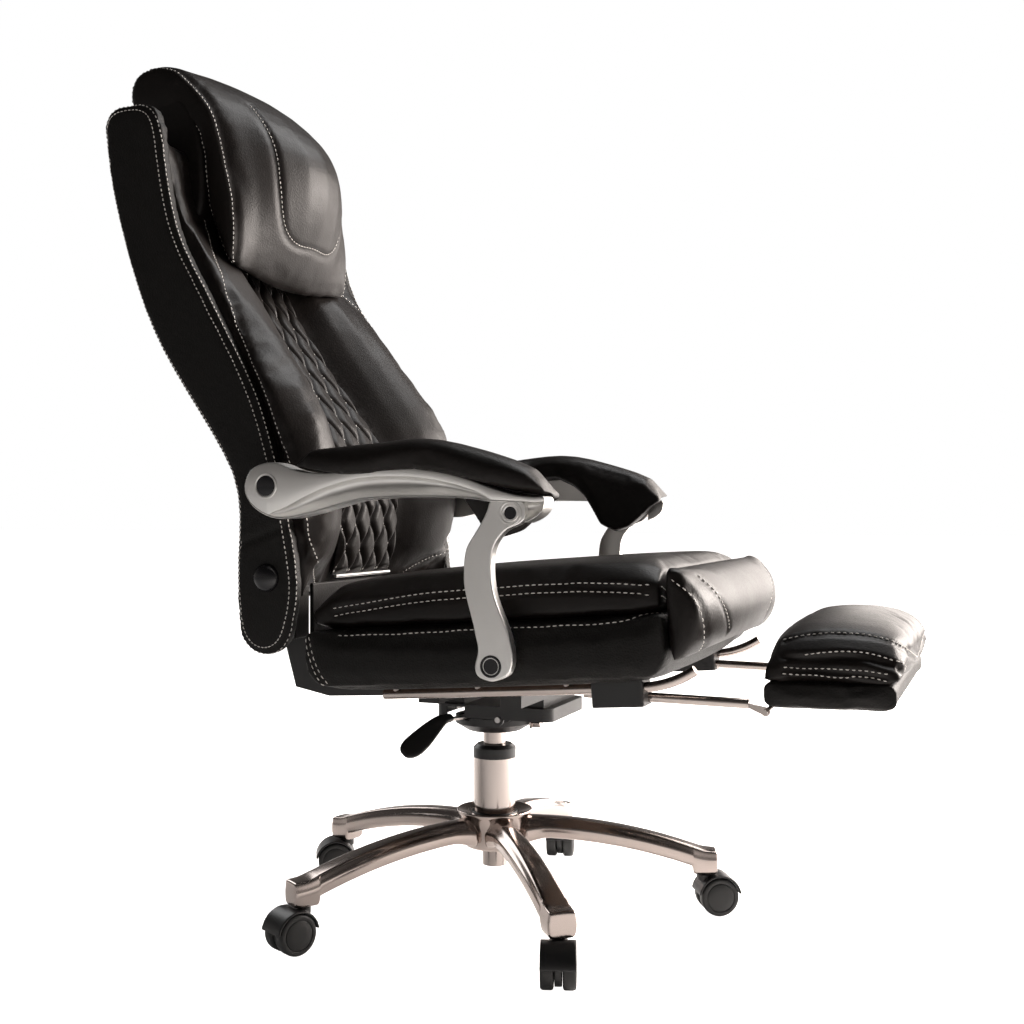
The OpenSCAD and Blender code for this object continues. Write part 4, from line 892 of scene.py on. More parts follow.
flat = points_of(quilt)
set_points(quilt, quilt_spot(flat[:, 0] + 0.5, flat[:, 1] + 0.5))
if quilt.data.polygons[0].normal.y > 0:
    quilt.data.flip_normals()
finish_with(quilt, "SOLIDIFY", thickness=0.003, offset=-1)
smooth_shade(quilt)
stands_for(quilt, "quilted_panel", hide_smooth)
print("quilt", len(quilt.data.polygons), "faces")

# %% Quilt threads and trim
EDGE_SHARE, SHORTEST_ROW = 0.015, 8
TRIM_SHARE, TRIM_OUT, TRIM_DROP = 0.02, 0.004, 0.002
rows = []
marks = np.linspace(0.012, 0.988, 160)
for way in (1, -1):
    for count in range(-QUILT_ROWS, QUILT_COLUMNS + QUILT_ROWS + 1):
        u = (count - way * QUILT_ROWS * marks) / QUILT_COLUMNS
        inside = (u > EDGE_SHARE) & (u < 1 - EDGE_SHARE)
        if inside.sum() > SHORTEST_ROW:
            rows.append(quilt_spot(u[inside], marks[inside]))
belongs(stitches("quilt_thread", skin(quilt), rows, pitch=0.0056, length=0.0040, radius=0.0008), "back")
trim = quilt_spot(np.linspace(TRIM_SHARE, 1 - TRIM_SHARE, 40), np.full(40, 0.0))
trim -= (0, TRIM_OUT, TRIM_DROP)
belongs(tube("quilt_piping", trim, 0.0026), "back", satin)
print("quilt rows", len(rows))

# %% [markdown]
# ## Seat
# The seat has three layers. A boxed base with a stitched edge carries a thick cushion, whose sides
# bulge between an upper seam and a deep fold, and a roll wraps the front for the sitter's knees.

# %% Seat box
WIDE = {"pitch": 0.0085, "length": 0.006}
seat_box = stuff(copy_of("seat_box", "seat_box_cover"), voxel=0.005, relax=3, cap=0.004, slack=0.002)
tree = skin(seat_box)
BOX_SEAM = [(306, 634), (340, 635), (365, 635), (415, 633), (465, 630), (515, 627), (590, 624),
            (640, 620), (676, 616)]
BOX_CORNER_SEAM = [(307, 640), (309, 652), (312, 664), (318, 676), (324, 684), (331, 691)]
box_seam = traced(tree, BOX_SEAM, 80)
corner_seam = traced(tree, BOX_CORNER_SEAM)
groove(seat_box, both(box_seam) + both(corner_seam), 0.006, 0.002)
stands_for(seat_box, "seat_box", hide_back)
tree = skin(seat_box)
for name, line, shift in (("box_thread_right", box_seam, 0.0),
                          ("box_corner_thread_in_right", corner_seam, 0.004),
                          ("box_corner_thread_out_right", corner_seam, -0.004)):
    sewn(name, tree, line, "seat", shift=shift, **WIDE)
print("seat box", len(seat_box.data.vertices))

# %% Seat cushion
TAIL, TAIL_FROM, TAIL_RUN = 0.009, 0.12, 0.05
seat_cushion = stuff(copy_of("seat_cushion", "seat_cover"), relax=12, hold=0.65)
points = points_of(seat_cushion)
points[:, 1] += TAIL * eased(points[:, 1] - TAIL_FROM, TAIL_RUN)
set_points(seat_cushion, points)
SEAT_SEAM = [(313, 617), (335, 612), (365, 607), (415, 598), (462, 594), (500, 591), (565, 587),
             (615, 587), (648, 590), (665, 594), (676, 598)]
seat_seam = traced(skin(seat_cushion), SEAT_SEAM, 80)
groove(seat_cushion, both(seat_seam), 0.009, 0.0035)
stands_for(seat_cushion, "seat_cushion", hide_smooth)
tree = skin(seat_cushion)
for name, shift in (("seat_thread_high_right", -0.0055), ("seat_thread_low_right", 0.0055)):
    sewn(name, tree, seat_seam, "seat", shift=shift, **WIDE)
print("seat cushion", len(seat_cushion.data.vertices), "seam points", len(seat_seam))

# %% Seat roll
ROLL_SWEEP, ROLL_HALF, ROLL_FRONT, ROLL_RUN = 0.012, 0.25, -0.325, 0.03
seat_roll = stuff(copy_of("seat_roll", "roll_cover"), relax=6, cap=0.004, slack=0.002)
points = points_of(seat_roll)
outer = (np.abs(points[:, 0]) / ROLL_HALF) ** 4
points[:, 1] += ROLL_SWEEP * outer * eased(ROLL_FRONT - points[:, 1], ROLL_RUN)
set_points(seat_roll, points)
tree = skin(seat_roll)
ROLL_SEAM = [(618, 573), (640, 571), (660, 572), (675, 577), (690, 588), (700, 602), (705, 618), (706, 634),
             (702, 650), (696, 663), (689, 673)]
ROLL_FRONT_SEAM = [(660, 560), (680, 567), (700, 577), (715, 592), (725, 610), (729, 630), (726, 648),
                   (720, 658)]
roll_seam = traced(tree, ROLL_SEAM)
roll_front_seam = traced(tree, ROLL_FRONT_SEAM)
groove(seat_roll, both(roll_seam) + both(roll_front_seam), 0.008, 0.003)
stands_for(seat_roll, "seat_roll", hide_smooth)
tree = skin(seat_roll)
for name, line, shift in (("roll_thread_right", roll_seam, -0.005),
                          ("roll_front_thread_right", roll_front_seam, 0.0045)):
    sewn(name, tree, line, "seat", shift=shift, **WIDE)
print("roll", len(seat_roll.data.vertices), "seam points", len(roll_seam))

# %% [markdown]
# ## Footrest
# The footrest is a small seat of its own: a leather box and a domed pad, sewn together along a
# double row of thread, with a centre panel on top and a pinched fold along its side.

# %% Footrest
OVERHANG, OVERHANG_FROM, OVERHANG_RUN = 0.014, -0.50, 0.08
SINK, SINK_UNDER, SINK_RUN = 0.004, 0.40, 0.02
REST_SWEEP, REST_HALF, REST_FRONT, REST_RUN = 0.012, 0.2, -0.53, 0.05
rest_box = stuff(copy_of("footrest_base", "footrest_box_cover"), voxel=0.004, relax=3, cap=0.003,
                 slack=0.002)
stands_for(rest_box, "footrest_base", hide_back)
rest_pad = stuff(copy_of("footrest_pad", "footrest_cover"), voxel=0.005, relax=18, cap=0.009, hold=0.5)
points = points_of(rest_pad)
points[:, 1] -= OVERHANG * eased(OVERHANG_FROM - points[:, 1], OVERHANG_RUN)
points[:, 2] -= SINK * eased(SINK_UNDER - points[:, 2], SINK_RUN)
outer = (np.abs(points[:, 0]) / REST_HALF) ** 4
points[:, 1] += REST_SWEEP * outer * eased(REST_FRONT - points[:, 1], REST_RUN)
set_points(rest_pad, points)
tree = skin(rest_pad)
REST_FOLD = [(764, 656), (785, 657), (802, 659), (825, 658), (848, 657), (866, 658), (882, 662), (901, 669)]
REST_FOLD_EDGE = [(806, 655), (825, 652), (848, 651), (870, 653), (886, 657), (898, 663), (905, 669)]
rest_fold = traced(tree, REST_FOLD, 12)
rest_fold_edge = traced(tree, REST_FOLD_EDGE, 12)
REST_SEAM = [(762, 671), (785, 670), (810, 670), (835, 673), (860, 675), (885, 678), (905, 680), (921, 680)]
REST_PANEL_SEAM = [(785, 641), (800, 636), (817, 634), (835, 633), (855, 634), (872, 636), (885, 640),
                   (898, 645), (908, 652), (917, 660)]
rest_seam = traced(tree, REST_SEAM)
rest_panel_seam = traced(tree, REST_PANEL_SEAM, 15)
groove(rest_pad, both(rest_panel_seam), 0.007, 0.003)
groove(rest_pad, both(rest_seam), 0.005, 0.0025)
groove(rest_pad, both(rest_fold), 0.009, 0.006)
rest_body = body_of("footrest_pad")
stands_for(rest_pad, "footrest_pad", hide_smooth)
tree = skin(rest_pad)
for name, line, shift in (("rest_panel_thread_right", rest_panel_seam, 0.004),
                          ("rest_thread_high_right", rest_seam, -0.0045),
                          ("rest_thread_low_right", rest_seam, 0.0045),
                          ("rest_fold_thread_right", rest_fold_edge, 0.0)):
    sewn(name, tree, line, rest_body, shift=shift)
print("footrest on", rest_body, len(rest_pad.data.vertices))

# %% [markdown]
# ## Arm pads
# Each arm carries a long thin pad. Its middle hangs lower on the inner side, over the metal.

# %% Arm pads
HANG, HANG_Z, HANG_RISE = 0.016, 0.600, 0.03
HANG_IN, HANG_ACROSS = -0.262, 0.015
HANG_FRONT, HANG_FRONT_RUN, HANG_REAR, HANG_REAR_RUN = -0.17, 0.06, 0.08, 0.08
arm_pad = stuff(copy_of("arm_pad_right", "arm_cover_right"), voxel=0.0035, relax=5, cap=0.004,
                slack=0.002)
points = points_of(arm_pad)
middle = eased(points[:, 1] - HANG_FRONT, HANG_FRONT_RUN) * eased(HANG_REAR - points[:, 1], HANG_REAR_RUN)
low = eased(HANG_Z - points[:, 2], HANG_RISE) * eased(points[:, 0] - HANG_IN, HANG_ACROSS)
points[:, 2] -= HANG * middle * low
set_points(arm_pad, points)
for side, cover in zip(SIDES, (arm_pad, mirror_of(arm_pad, "arm_cover_left"))):
    stands_for(cover, "arm_pad_" + side, hide_smooth)
print("arm pads", len(arm_pad.data.vertices))

# %% [markdown]
# ## Ways to make hard parts
# Three small helpers cover the hard parts. A loft rolls a flat grid into a skin through rings, as for
# the arm. A plate is an outline with a thickness and bevelled edges, as for the link. A turned part
# is a profile that goes once round an axis, as for caps and wheels.

# %% Lofts, plates and turned parts
def loft(name, rings):
    """A closed skin through rings of points."""
    rings = np.array(rings, float)
    rows, around = rings.shape[:2]
    bpy.ops.object.select_all(action="DESELECT")
    bpy.ops.mesh.primitive_grid_add(x_subdivisions=around, y_subdivisions=rows - 1, size=1)
    piece = bpy.context.object
    piece.name = name
    flat = points_of(piece)
    across = np.round((flat[:, 0] + 0.5) * around).astype(int) % around
    station = np.round((flat[:, 1] + 0.5) * (rows - 1)).astype(int)
    set_points(piece, rings[station, across])
    in_edit_mode(piece, merged(0.00001), ("fill_holes", {"sides": 0}), OUTWARD)
    return piece


def plate(name, outline, low_x, high_x, bevel=0.002, segments=3):
    """A flat plate between two places across the chair, with its outline in Y and Z."""
    bpy.ops.object.select_all(action="DESELECT")
    bpy.ops.mesh.primitive_circle_add(vertices=len(outline), fill_type="NGON")
    piece = bpy.context.object
    piece.name = name
    set_points(piece, np.array([(0, y, z) for y, z in outline]))
    finish_with(piece, "SOLIDIFY", thickness=high_x - low_x, offset=1)
    points = points_of(piece)
    points[:, 0] += low_x - points[:, 0].min()
    set_points(piece, points)
    in_edit_mode(piece, OUTWARD)
    finish_with(piece, "BEVEL", width=bevel, segments=segments, limit_method="ANGLE",
                angle_limit=math.radians(40))
    smooth_shade(piece, 40)
    return finish_with(piece, "WEIGHTED_NORMAL", keep_sharp=True)


def turned(name, profile, steps=48, angle=30):
    """A profile of radius and height in millimetres, turned round the Z axis."""
    piece = piece_from(name, [(r / 1000, 0, h / 1000) for r, h in profile],
                       [(k, k + 1) for k in range(len(profile) - 1)], [])
    finish_with(piece, "SCREW", axis="Z", angle=2 * math.pi, steps=steps, render_steps=steps,
                use_merge_vertices=True, merge_threshold=0.00001)
    in_edit_mode(piece, merged(0.00001), OUTWARD)
    smooth_shade(piece, angle)
    return piece


def moved(piece, matrix):
    """Moves the mesh itself, so that the object stays at the origin."""
    piece.data.transform(matrix)
    if matrix.determinant() < 0:
        piece.data.flip_normals()
    piece.data.update()
    return piece


def onto_side(x, y, z):
    """Stands a turned part on the chair's right side, its top facing out."""
    return Matrix.Translation((x, y, z)) @ Matrix.Rotation(-math.pi / 2, 4, "Y")


def joined(name, *pieces):
    pick(pieces[0])
    for piece in pieces:
        piece.select_set(True)
    bpy.ops.object.join()
    pieces[0].name = name
    return pieces[0]


print("hard part helpers ready")

# %% [markdown]
# ## Arms
# Each arm is one aluminium casting, from a round boss on the back to a hooked nose round the head of
# the front link. Its outer face has a bright flat band along the top and a deep cove under it, with
# a thin bright rim. Sections across the arm are drawn at stations along it and skinned. Below the
# nose the casting is hollow, so that the link's head can turn inside it.

# %% Arm sections
ARM_OUT = -0.288
ARM_TOP = [(232.4, 607), (231, 614), (227.5, 622), (220.6, 629.8), (208.2, 635.1), (192.3, 637),
           (178.3, 634.4), (162.7, 628.2), (145.4, 624.3), (121.4, 622.6), (101.1, 622.9), (74.2, 626.5),
           (47.7, 628.5), (15, 628.7), (-17.2, 626.2), (-48.9, 621.6), (-80.2, 613.8), (-111, 603),
           (-141.4, 594.4), (-165.4, 591.5), (-178.8, 591.6), (-181.8, 588)]
ARM_LOW = [(232.4, 607), (231, 594.8), (224.2, 584), (213.5, 575), (201.1, 568.8), (187.1, 564.9),
           (173.1, 564.3), (159.2, 565.8), (131.7, 571.6), (104.4, 578.7), (80.9, 584.6), (60.9, 588.1),
           (34.6, 590), (15, 590.8), (-33.1, 590.9), (-64.6, 589.9), (-92.6, 588.1), (-109.5, 585.4),
           (-156.4, 585)]
NOSE_LOW = [(-156.5, 560), (-161, 561.7), (-166.9, 564.4), (-174.3, 569.5), (-179.2, 576.1), (-181.8, 588)]
SCOOP_TOP = [(194.1, 571.4), (171.3, 579.4), (148.8, 589.9), (131.7, 597.3), (114.6, 604), (94.3, 609.5),
             (74.2, 613.8), (47.7, 616.5), (21.5, 617.1), (-4.4, 616.3), (-29.9, 613.7), (-55.2, 609.2),
             (-74, 604.2), (-92.6, 598.3), (-104.9, 592), (-110, 588.5)]
SCOOP_SHARES = (0.03, 0.09, 0.17, 0.28, 0.4, 0.53, 0.66, 0.78, 0.89, 0.97)
SCOOP_REAR, SCOOP_DEEP, NOSE_DEEP, SCOOP_ROUND = 194, 10.5, 12.0, 0.62
RIM, EDGE, NOSE_BAND = 2.3, 1.6, 6.5
POCKET_REAR, POCKET_FRONT, SCOOP_PAST_POCKET = -95, -156.4, 15
NOSE_START = -156.5
BAND_IN, BAND_MID, POCKET_OUT, POCKET_IN, INNER_FACE, ROOF = -259, -272, -279.2, -261, -256.2, 3


def heights(table):
    """Height against depth, through a table given from the rear to the front."""
    line = smooth_line([(0, y, z) for y, z in table], 8)
    order = np.argsort(line[:, 1])
    return lambda y: np.interp(y, line[order, 1], line[order, 2])


arm_top, arm_low, nose_low, scoop_top = (heights(t) for t in (ARM_TOP, ARM_LOW, NOSE_LOW, SCOOP_TOP))


def arm_section(y):
    """One section of the right arm, drawn in millimetres across and up."""
    top = float(arm_top(y))
    nose = y <= NOSE_START
    low = min(float(nose_low(y) if nose else arm_low(y)), top - 0.2)
    cove_top = float(top - min(NOSE_BAND, (top - low) * 0.4) if nose else scoop_top(y))
    rim_top = low + min(RIM, (top - low) * 0.15)
    coved = POCKET_REAR - SCOOP_PAST_POCKET < y < SCOOP_REAR or nose
    if not coved or cove_top < rim_top + 0.5:
        cove_top = rim_top + 0.3
    deep = min(NOSE_DEEP if nose else SCOOP_DEEP, (cove_top - rim_top) * SCOOP_ROUND)
    out = ARM_OUT * 1000
    edge = min(EDGE, (top - low) * 0.3)
    roof = top - ROOF if POCKET_FRONT <= y <= POCKET_REAR else low + 0.05
    points = [(BAND_IN, top), (BAND_MID, top), (out + edge, top), (out + edge * 0.3, top - edge * 0.3),
              (out, top - edge), (out, (top + cove_top) / 2), (out, cove_top + 0.6), (out + 0.4, cove_top)]
    for share in SCOOP_SHARES:
        points.append((out + 0.4 + deep * math.sin(math.pi * share ** 0.62) ** 0.8,
                       cove_top + (rim_top - cove_top) * share))
    points += [(out + 0.5, rim_top), (out + 0.1, (rim_top + low) / 2), (out + 1.2, low), (POCKET_OUT, low),
               (POCKET_OUT, roof), (POCKET_IN, roof), (POCKET_IN, low), (INNER_FACE, low),
               (INNER_FACE, top - 1.2)]
    return [(x / 1000, y / 1000, z / 1000) for x, z in points]


print("arm section at the middle", len(arm_section(0)), "points")

# %% Arm castings
REAR_TIP, REAR_CURVE = 232.4, 52
stations = np.concatenate([
    REAR_TIP - REAR_CURVE * (1 - np.cos(np.linspace(0.06, math.pi / 2, 16))), np.arange(176, -92, -4.0),
    np.arange(-96, -156, -4.0), [POCKET_FRONT, NOSE_START], np.arange(-159, -176, -2.5),
    [-177, -178.5, -179.7, -180.6, -181.2, -181.6]])
BOSS = (ARM_OUT, 0.2009, 0.6067)
RING_PROFILE = [(13.5, -4), (13.8, 0.6), (14.4, 1.1), (16.2, 1.1), (16.8, 0.6), (17, -4), (13.5, -4)]
arm_frame = loft("arm_casting_right", [arm_section(y) for y in stations])
smooth_shade(arm_frame, 48)
boss_ring = moved(turned("boss_ring", RING_PROFILE), onto_side(*BOSS))
arm_frame = joined("arm_casting_right", arm_frame, boss_ring)
for side, piece in zip(SIDES, (arm_frame, mirror_of(arm_frame, "arm_casting_left"))):
    stands_for(piece, "arm_frame_" + side, satin)
print("arm casting", len(stations), "stations", len(arm_frame.data.polygons), "faces")

# %% Links
LINK_OUT, LINK_IN = -0.278, -0.262
LINK_LINE = [(-106.9, 585), (-103.8, 576.2), (-99.2, 566.2), (-91.4, 553.3), (-83.6, 541.9), (-77.4, 531.8),
             (-74.3, 521.7), (-72.7, 507.3), (-72.7, 487.2), (-75.8, 470.1), (-80.5, 453), (-85.2, 436),
             (-88.3, 421.8), (-91, 410.5), (-91, 401.9), (-88.9, 393.2), (-87.4, 384.6), (-88.9, 377.5),
             (-93, 372.5), (-100.7, 369.5), (-109.6, 368), (-117.3, 369.7), (-125, 373), (-131.2, 377.5),
             (-134.9, 384.9), (-136.4, 393.5), (-135.8, 404.9), (-133.6, 416.2), (-130.6, 427.5),
             (-125, 441.7), (-118.9, 455.8), (-113.6, 470), (-110.5, 484.3), (-109, 498.6), (-109, 513),
             (-110.5, 524.5), (-114.2, 534.6), (-120.4, 543.3), (-128.1, 551), (-135.8, 554.6),
             (-143.5, 557.4), (-150, 562), (-154, 568.5), (-155.2, 576), (-152.5, 583), (-146, 588.5),
             (-136, 591), (-124, 590.3), (-114, 588)]
link_line = evenly(smooth_line([(0, y, z) for y, z in LINK_LINE], 6, closed=True), 2.6, closed=True) / 1000
link = plate("link_casting_right", link_line[:, 1:], LINK_OUT, LINK_IN, bevel=0.0022)
for side, piece in zip(SIDES, (link, mirror_of(link, "link_casting_left"))):
    stands_for(piece, "arm_link_" + side, satin)
print("links", len(link.data.polygons), "faces")

# %% [markdown]
# ## Caps over the pivots
# Every pivot of the arms is hidden by a round plug. The rear one is flat and black, the front one
# sits in a broad bright washer, and the low one has a ring round a sunk middle.

# %% Pivot caps
FRONT_PIVOT, LOW_PIVOT = (LINK_OUT, -0.1341, 0.5719), (LINK_OUT, -0.1087, 0.3862)


def plug(name, spot, profile, like, material=shiny_cap, replaces=False):
    """A turned plug on the right side and its twin on the left. Each rides on the body of the solid
    that is named by like and its side."""
    right = moved(turned(name + "_right", profile), onto_side(*spot))
    for side, piece in zip(SIDES, (right, mirror_of(right, name + "_left"))):
        belongs(piece, body_of(like + side), material)
        if replaces:
            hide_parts(like + side)
    print(name, "at", np.round(spot, 4))


plug("boss_plug", BOSS, [(0, 1.2), (12.2, 1.2), (13.1, 0.8), (13.4, 0.0), (13.4, -4), (0, -4)],
     "arm_caps_", replaces=True)
plug("front_plug", FRONT_PIVOT, [(0, 0.4), (7.2, 0.4), (7.8, 0.0), (7.9, -2), (0, -2)], "arm_frame_")
plug("front_washer", FRONT_PIVOT,
     [(7.9, -2), (7.9, 0.6), (8.6, 1.1), (10.4, 1.1), (11.2, 0.4), (11.8, 0.4), (12.4, 0.9), (14.3, 0.9),
      (14.9, 0.3), (15, -2), (7.9, -2)], "arm_link_", satin)
plug("low_plug", LOW_PIVOT,
     [(0, 0.2), (9.4, 0.2), (9.9, -0.4), (10.3, -0.4), (10.7, 0.8), (11.3, 1.2), (13.1, 1.2), (13.7, 0.6),
      (13.8, -2), (0, -2)], "arm_link_")

# %% [markdown]
# ## Star base
# The base is a polished casting. Each leg has a narrow crowned top that widens towards the tip, two
# rounded flanks, and a squared block at its end that holds the caster's stem. One leg is skinned
# from sections and copied to the place of each caster. The hub is a turned bowl with a dished top.

# %% One leg
LEG_ROOT, LEG_TIP, LEG_END = 0.040, 0.300, 0.3175
LEG_MID_Z, LEG_ARC = 0.124, 0.7578
LEG_HALF_H, BLOCK_UNDER = 0.0145, 0.0588
LEG_ROOT_HALF, LEG_TIP_HALF = 0.0215, 0.0188
FLARE_END, BLOCK_START, CORNER = 0.075, 0.283, 0.0022
TOP_SHARE, TOP_WIDER = 0.40, 0.46
FLANK = ((0.2, 0.10), (0.42, 0.20), (0.62, 0.30), (0.9, 0.36), (1, 0.46), (1, 0.62))


def leg_section(x, inset=0.0):
    """One section of a leg that points along X: a crowned top, a flank and an underside."""
    run = min(x, LEG_TIP)
    share = (run - LEG_ROOT) / (LEG_TIP - LEG_ROOT)
    middle = LEG_MID_Z - LEG_ARC + math.sqrt(LEG_ARC ** 2 - (run - LEG_ROOT) ** 2)
    flare = max(0.0, FLARE_END - x)
    half = LEG_ROOT_HALF + (LEG_TIP_HALF - LEG_ROOT_HALF) * share + flare ** 2 * 6 - inset
    top = middle + LEG_HALF_H - inset
    block = x >= BLOCK_START
    low = (BLOCK_UNDER if block else middle - LEG_HALF_H - flare * 0.25) + inset
    flat = half - CORNER if block else half * (TOP_SHARE + TOP_WIDER * share ** 1.3)
    drop = top - low
    right = [(0, top), (flat * 0.5, top - 0.0001), (flat * 0.86, top - 0.0005), (flat, top - 0.0013)]
    right += [(flat + (half - flat) * across, top - drop * down) for across, down in FLANK]
    right += [(half - 0.0006, top - drop * 0.80), (half - CORNER, low + CORNER),
              (half - 0.0045, low + 0.0006), (half * 0.5, low), (0, low)]
    ring = right + [(-y, z) for y, z in right[-2:0:-1]]
    return [(x, y, z) for y, z in ring]


leg_stations = [(x, 0.0) for x in np.linspace(LEG_ROOT, 0.276, 30)]
leg_stations += [(x, 0.0) for x in (0.2805, 0.2826, 0.2831, 0.286, 0.295, 0.306, 0.313)]
leg_stations += [(0.3158, 0.0006), (0.3171, 0.0018), (LEG_END, 0.0034)]
leg = loft("leg", [leg_section(*spot) for spot in leg_stations])
finish_with(leg, "SUBSURF", levels=1, render_levels=1)
smooth_shade(leg)
print("leg", len(leg.data.polygons), "faces")

# %% Star base
HUB_PROFILE = [(17.7, 94), (37, 94), (41, 95.5), (43.5, 99), (45.5, 112), (47, 126), (49, 137), (52, 141.6),
               (53.6, 143.8), (54, 145.2), (54, 146.8), (53.4, 147.8), (52.2, 148), (51, 147.4),
               (44, 144.6), (37, 142.6), (35, 141.2), (33.4, 141), (32.6, 142.4), (30.4, 142.6),
               (30.4, 100.3), (17.7, 100.3), (17.7, 94)]
GASKET_R, GASKET_Z, GASKET_THICK = 0.0317, 0.1438, 0.0013
hub = turned("hub", HUB_PROFILE, steps=96, angle=50)
joints = {joint["name"]: joint for joint in frame["joints"]}
stems = [Vector(joints["caster_%d_swivel" % i]["pos_m"]) for i in range(1, 6)]
legs = [moved(again(leg, "leg"), Matrix.Rotation(math.atan2(stem.y, stem.x), 4, "Z")) for stem in stems]
bpy.data.objects.remove(leg)
star = joined("star_casting", hub, *legs)
stands_for(star, "star_base", polished)
dish_ring = tube("hub_gasket", [(GASKET_R * math.cos(a), GASKET_R * math.sin(a), GASKET_Z)
                                for a in np.linspace(0, 2 * math.pi, 73)[:-1]], GASKET_THICK, closed=True)
belongs(dish_ring, body_of("star_base"), plastic)
print("star base", len(star.data.polygons), "faces")

# %% [markdown]
# ## Casters
# A caster is two thick nylon wheels under one hood. The hood is a softened copy of its solid. The
# wheel is turned once: rounded tread, flat face, and the ring groove that every such wheel has. Each
# place gets its own copy of both.

# %% Casters
WHEEL_PROFILE = [(0, 0.4), (23, 0.4), (25.4, 1.0), (26.6, 2.2), (27, 3.6), (27, 13), (26.6, 14.8),
                 (25.6, 16.2), (24, 16.9), (21, 17), (20.4, 16.7), (20.1, 15.9), (19.3, 15.9),
                 (19.0, 16.7), (18.4, 17.1), (9, 17.3), (0, 17.3)]
WHEEL_GAP = 0.010
wheel = turned("wheel", WHEEL_PROFILE, steps=40, angle=38)
fork = copy_of("caster_fork_1", "fork")
finish_with(fork, "REMESH", mode="VOXEL", voxel_size=0.0011)
soften(fork, 4)
smooth_shade(fork)


def facing(place, up_to):
    """A turn that takes Z to a level direction, then a move."""
    across = Vector((0, 0, 1)).cross(up_to)
    turn = Matrix((across, Vector((0, 0, 1)), up_to)).transposed().to_4x4()
    return Matrix.Translation(place) @ turn


first_turn = None
for i, stem in enumerate(stems, 1):
    centres = {side: sum(map(Vector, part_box("caster_wheel_%d_%s" % (i, side))), Vector()) / 2
               for side in ("left", "right")}
    hub_spot = (centres["left"] + centres["right"]) / 2
    turn = math.atan2(hub_spot.y - stem.y, hub_spot.x - stem.x)
    first_turn = turn if first_turn is None else first_turn
    hood = moved(again(fork, "caster_hood_%d" % i), Matrix.Translation((stem.x, stem.y, 0))
                 @ Matrix.Rotation(turn - first_turn, 4, "Z")
                 @ Matrix.Translation((-stems[0].x, -stems[0].y, 0)))
    stands_for(hood, "caster_fork_%d" % i, plastic)
    for side, centre in centres.items():
        out = (centre - hub_spot).normalized()
        disc = moved(again(wheel, "caster_disc_%d_%s" % (i, side)),
                     facing(hub_spot + out * WHEEL_GAP / 2, out))
        stands_for(disc, "caster_wheel_%d_%s" % (i, side), tread)
bpy.data.objects.remove(wheel)
bpy.data.objects.remove(fork)
print("casters", len(stems), "legs turned", [round(math.degrees(math.atan2(s.y, s.x)), 1) for s in stems])

# %% [markdown]
# ## Knobs
# A domed black knob sits low on each side of the back. A turned dome gives it the one soft highlight
# that the picture shows.

# %% Recline knobs
KNOB_DEEP = 0.011
KNOB_PROFILE = [(0, 13.2), (4, 13.0), (8.5, 12.0), (12.5, 10.2), (15.6, 7.7), (17.8, 4.7), (18.9, 1.8),
                (19, 0), (5, 0), (5, -8), (0, -8)]
knob_low, knob_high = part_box("recline_knob_right")
knob_spot = (knob_high.x - KNOB_DEEP, (knob_low.y + knob_high.y) / 2, (knob_low.z + knob_high.z) / 2)
plug("knob_dome", knob_spot, KNOB_PROFILE, "recline_knob_", replaces=True)

# %% [markdown]
# ## Rear panel
# The back of the chair is one upholstered panel between the two side covers, with a stitched seam
# down each edge and one across the shoulders.

# %% Rear panel
REAR_SEAM_X, SHOULDER_Z, REAR_PROUD = 0.165, 0.56, 0.004
REAR_FOOT, REAR_HEAD_SHARE = 0.035, 0.97
rear = stuff(copy_of("rear_panel", "rear_cover"), voxel=0.005, relax=4, cap=0.005, slack=0.002)


def rear_spot(x, z):
    """A place just behind the back's rear line."""
    return x, HINGE_Y + float(rear_y(z)) + REAR_PROUD, HINGE_Z + z


upright = np.linspace(REAR_FOOT, REAR_HEAD_SHARE * BACK_RISE, 60)
rear_seam = [rear_spot(-REAR_SEAM_X, z) for z in upright]
shoulder = [rear_spot(x, SHOULDER_Z) for x in np.linspace(-REAR_SEAM_X, REAR_SEAM_X, 40)]
tree = skin(rear)
rear_lines = [lay(tree, line)[0] for line in both(rear_seam) + [shoulder]]
groove(rear, rear_lines, 0.008, 0.003)
stands_for(rear, "rear_panel", hide_back)
tree = skin(rear)
for name, shift in (("rear_thread_one", 0.0045), ("rear_thread_two", -0.0045)):
    belongs(stitches(name, tree, rear_lines, pitch=0.0075, length=0.005, shift=shift), "back")
print("rear panel", len(rear.data.vertices))

# %% [markdown]
# ## Height lever
# The lever ends in a leaf-shaped blade that droops and is twisted, so that a hand below the seat finds
# it. Rounded sections are set along a drooping line, each turned by the same twist.

# %% Lever blade
LEVER_AIM, BLADE_TWIST = math.radians(158), math.radians(45)
BLADE_SIDES, BLADE_SQUARE = 16, 0.7
BLADE = [(84, 0, 286.5, 5.5, 5.2), (92, 0, 287.5, 6.2, 5.0), (102, 0, 287, 8, 4.4),
         (114, 1, 282.5, 10.5, 4.0), (128, 2, 275, 13, 3.9), (142, 3, 267, 15, 3.9),
         (156, 4, 259.5, 16, 3.9), (167, 4, 254.5, 15, 3.9), (174, 4, 251.5, 12, 3.5),
         (178, 4, 250, 8, 2.6), (180, 4, 249.4, 4, 1.4)]
lever_run = np.array([math.cos(LEVER_AIM), math.sin(LEVER_AIM), 0])
lever_side = np.array([-math.sin(LEVER_AIM), math.cos(LEVER_AIM), 0])
up = np.array([0, 0, 1])
blade_wide = lever_side * math.cos(BLADE_TWIST) - up * math.sin(BLADE_TWIST)


def squarish(part):
    """A cosine or sine pushed outwards, so that a round section gets fuller corners."""
    return np.sign(part) * abs(part) ** BLADE_SQUARE


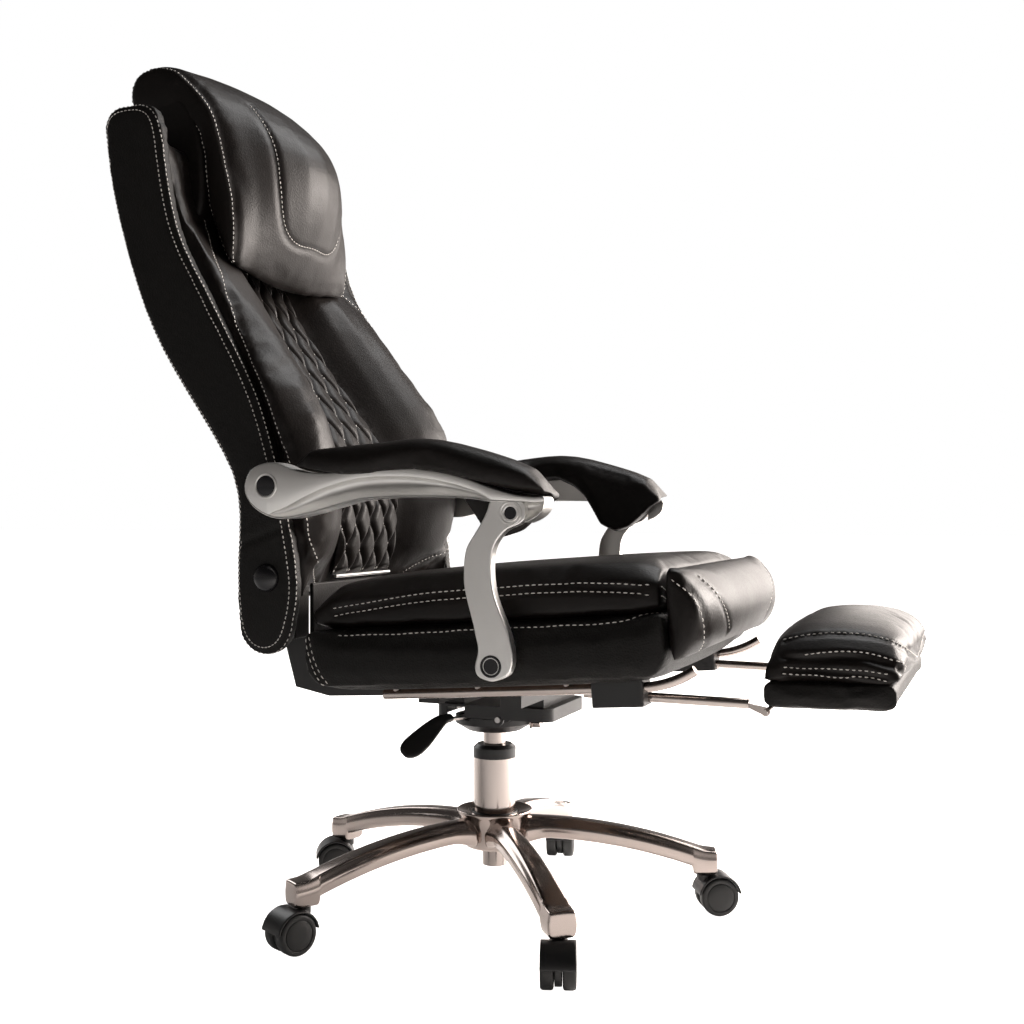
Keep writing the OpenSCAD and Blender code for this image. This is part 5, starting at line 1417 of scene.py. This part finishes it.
blade_rings = []
middles = [(lever_run * u + lever_side * v + up * z) / 1000 for u, v, z, _, _ in BLADE]
for k, (_, _, _, half, thick) in enumerate(BLADE):
    run = middles[min(k + 1, len(BLADE) - 1)] - middles[max(k - 1, 0)]
    wide = blade_wide - run * (blade_wide @ run) / (run @ run)
    wide /= np.linalg.norm(wide)
    out = np.cross(run / np.linalg.norm(run), wide)
    turns = np.linspace(0, 2 * math.pi, BLADE_SIDES + 1)[:-1]
    blade_rings.append([middles[k] + wide * half / 1000 * squarish(math.cos(a))
                        + out * thick / 1000 * squarish(math.sin(a)) for a in turns])
blade = loft("lever_blade", blade_rings)
finish_with(blade, "SUBSURF", levels=2, render_levels=2)
smooth_shade(blade)
stands_for(blade, "lever_paddle", plastic)
print("lever blade", len(blade.data.polygons), "faces")

# %% [markdown]
# ## Linings
# Two leather linings close the back against daylight. One fills the space between the headrest and
# the top of the back, and the other hangs under the back cushion, in front of the hinge, with a slot
# for each hinge strap. Both are hidden work, so a plate with soft edges is enough.

# %% Linings of the back
HEADREST_LINING = [(0.43, 0.97), (0.388, 1.0), (0.382, 1.06), (0.392, 1.12), (0.415, 1.165), (0.455, 1.172),
                   (0.487, 1.155), (0.481, 1.125), (0.462, 1.098), (0.45, 1.05)]
LINING_HALF = 0.167
FLAP_THICK, FLAP_LOW, FLAP_HIGH = 0.006, 0.404, 0.475
FLAPS = ((-0.2293, -0.192, 0.192), (-0.1625, 0.1625, 0.204), (0.192, 0.2293, 0.192))
line = smooth_line([(0, y, z) for y, z in HEADREST_LINING], 5, closed=True)
lining = plate("headrest_lining", line[:, 1:], -LINING_HALF, LINING_HALF, bevel=0.010, segments=4)
belongs(lining, "back", material=hide)
flaps = []
for low_x, high_x, flap_y in FLAPS:
    corners = [(flap_y, FLAP_LOW), (flap_y + FLAP_THICK, FLAP_LOW), (flap_y + FLAP_THICK, FLAP_HIGH),
               (flap_y, FLAP_HIGH)]
    flaps.append(plate("flap", corners, low_x, high_x, bevel=0.0025))
belongs(joined("back_flaps", *flaps), "back", material=hide)
print("linings", len(lining.data.vertices))
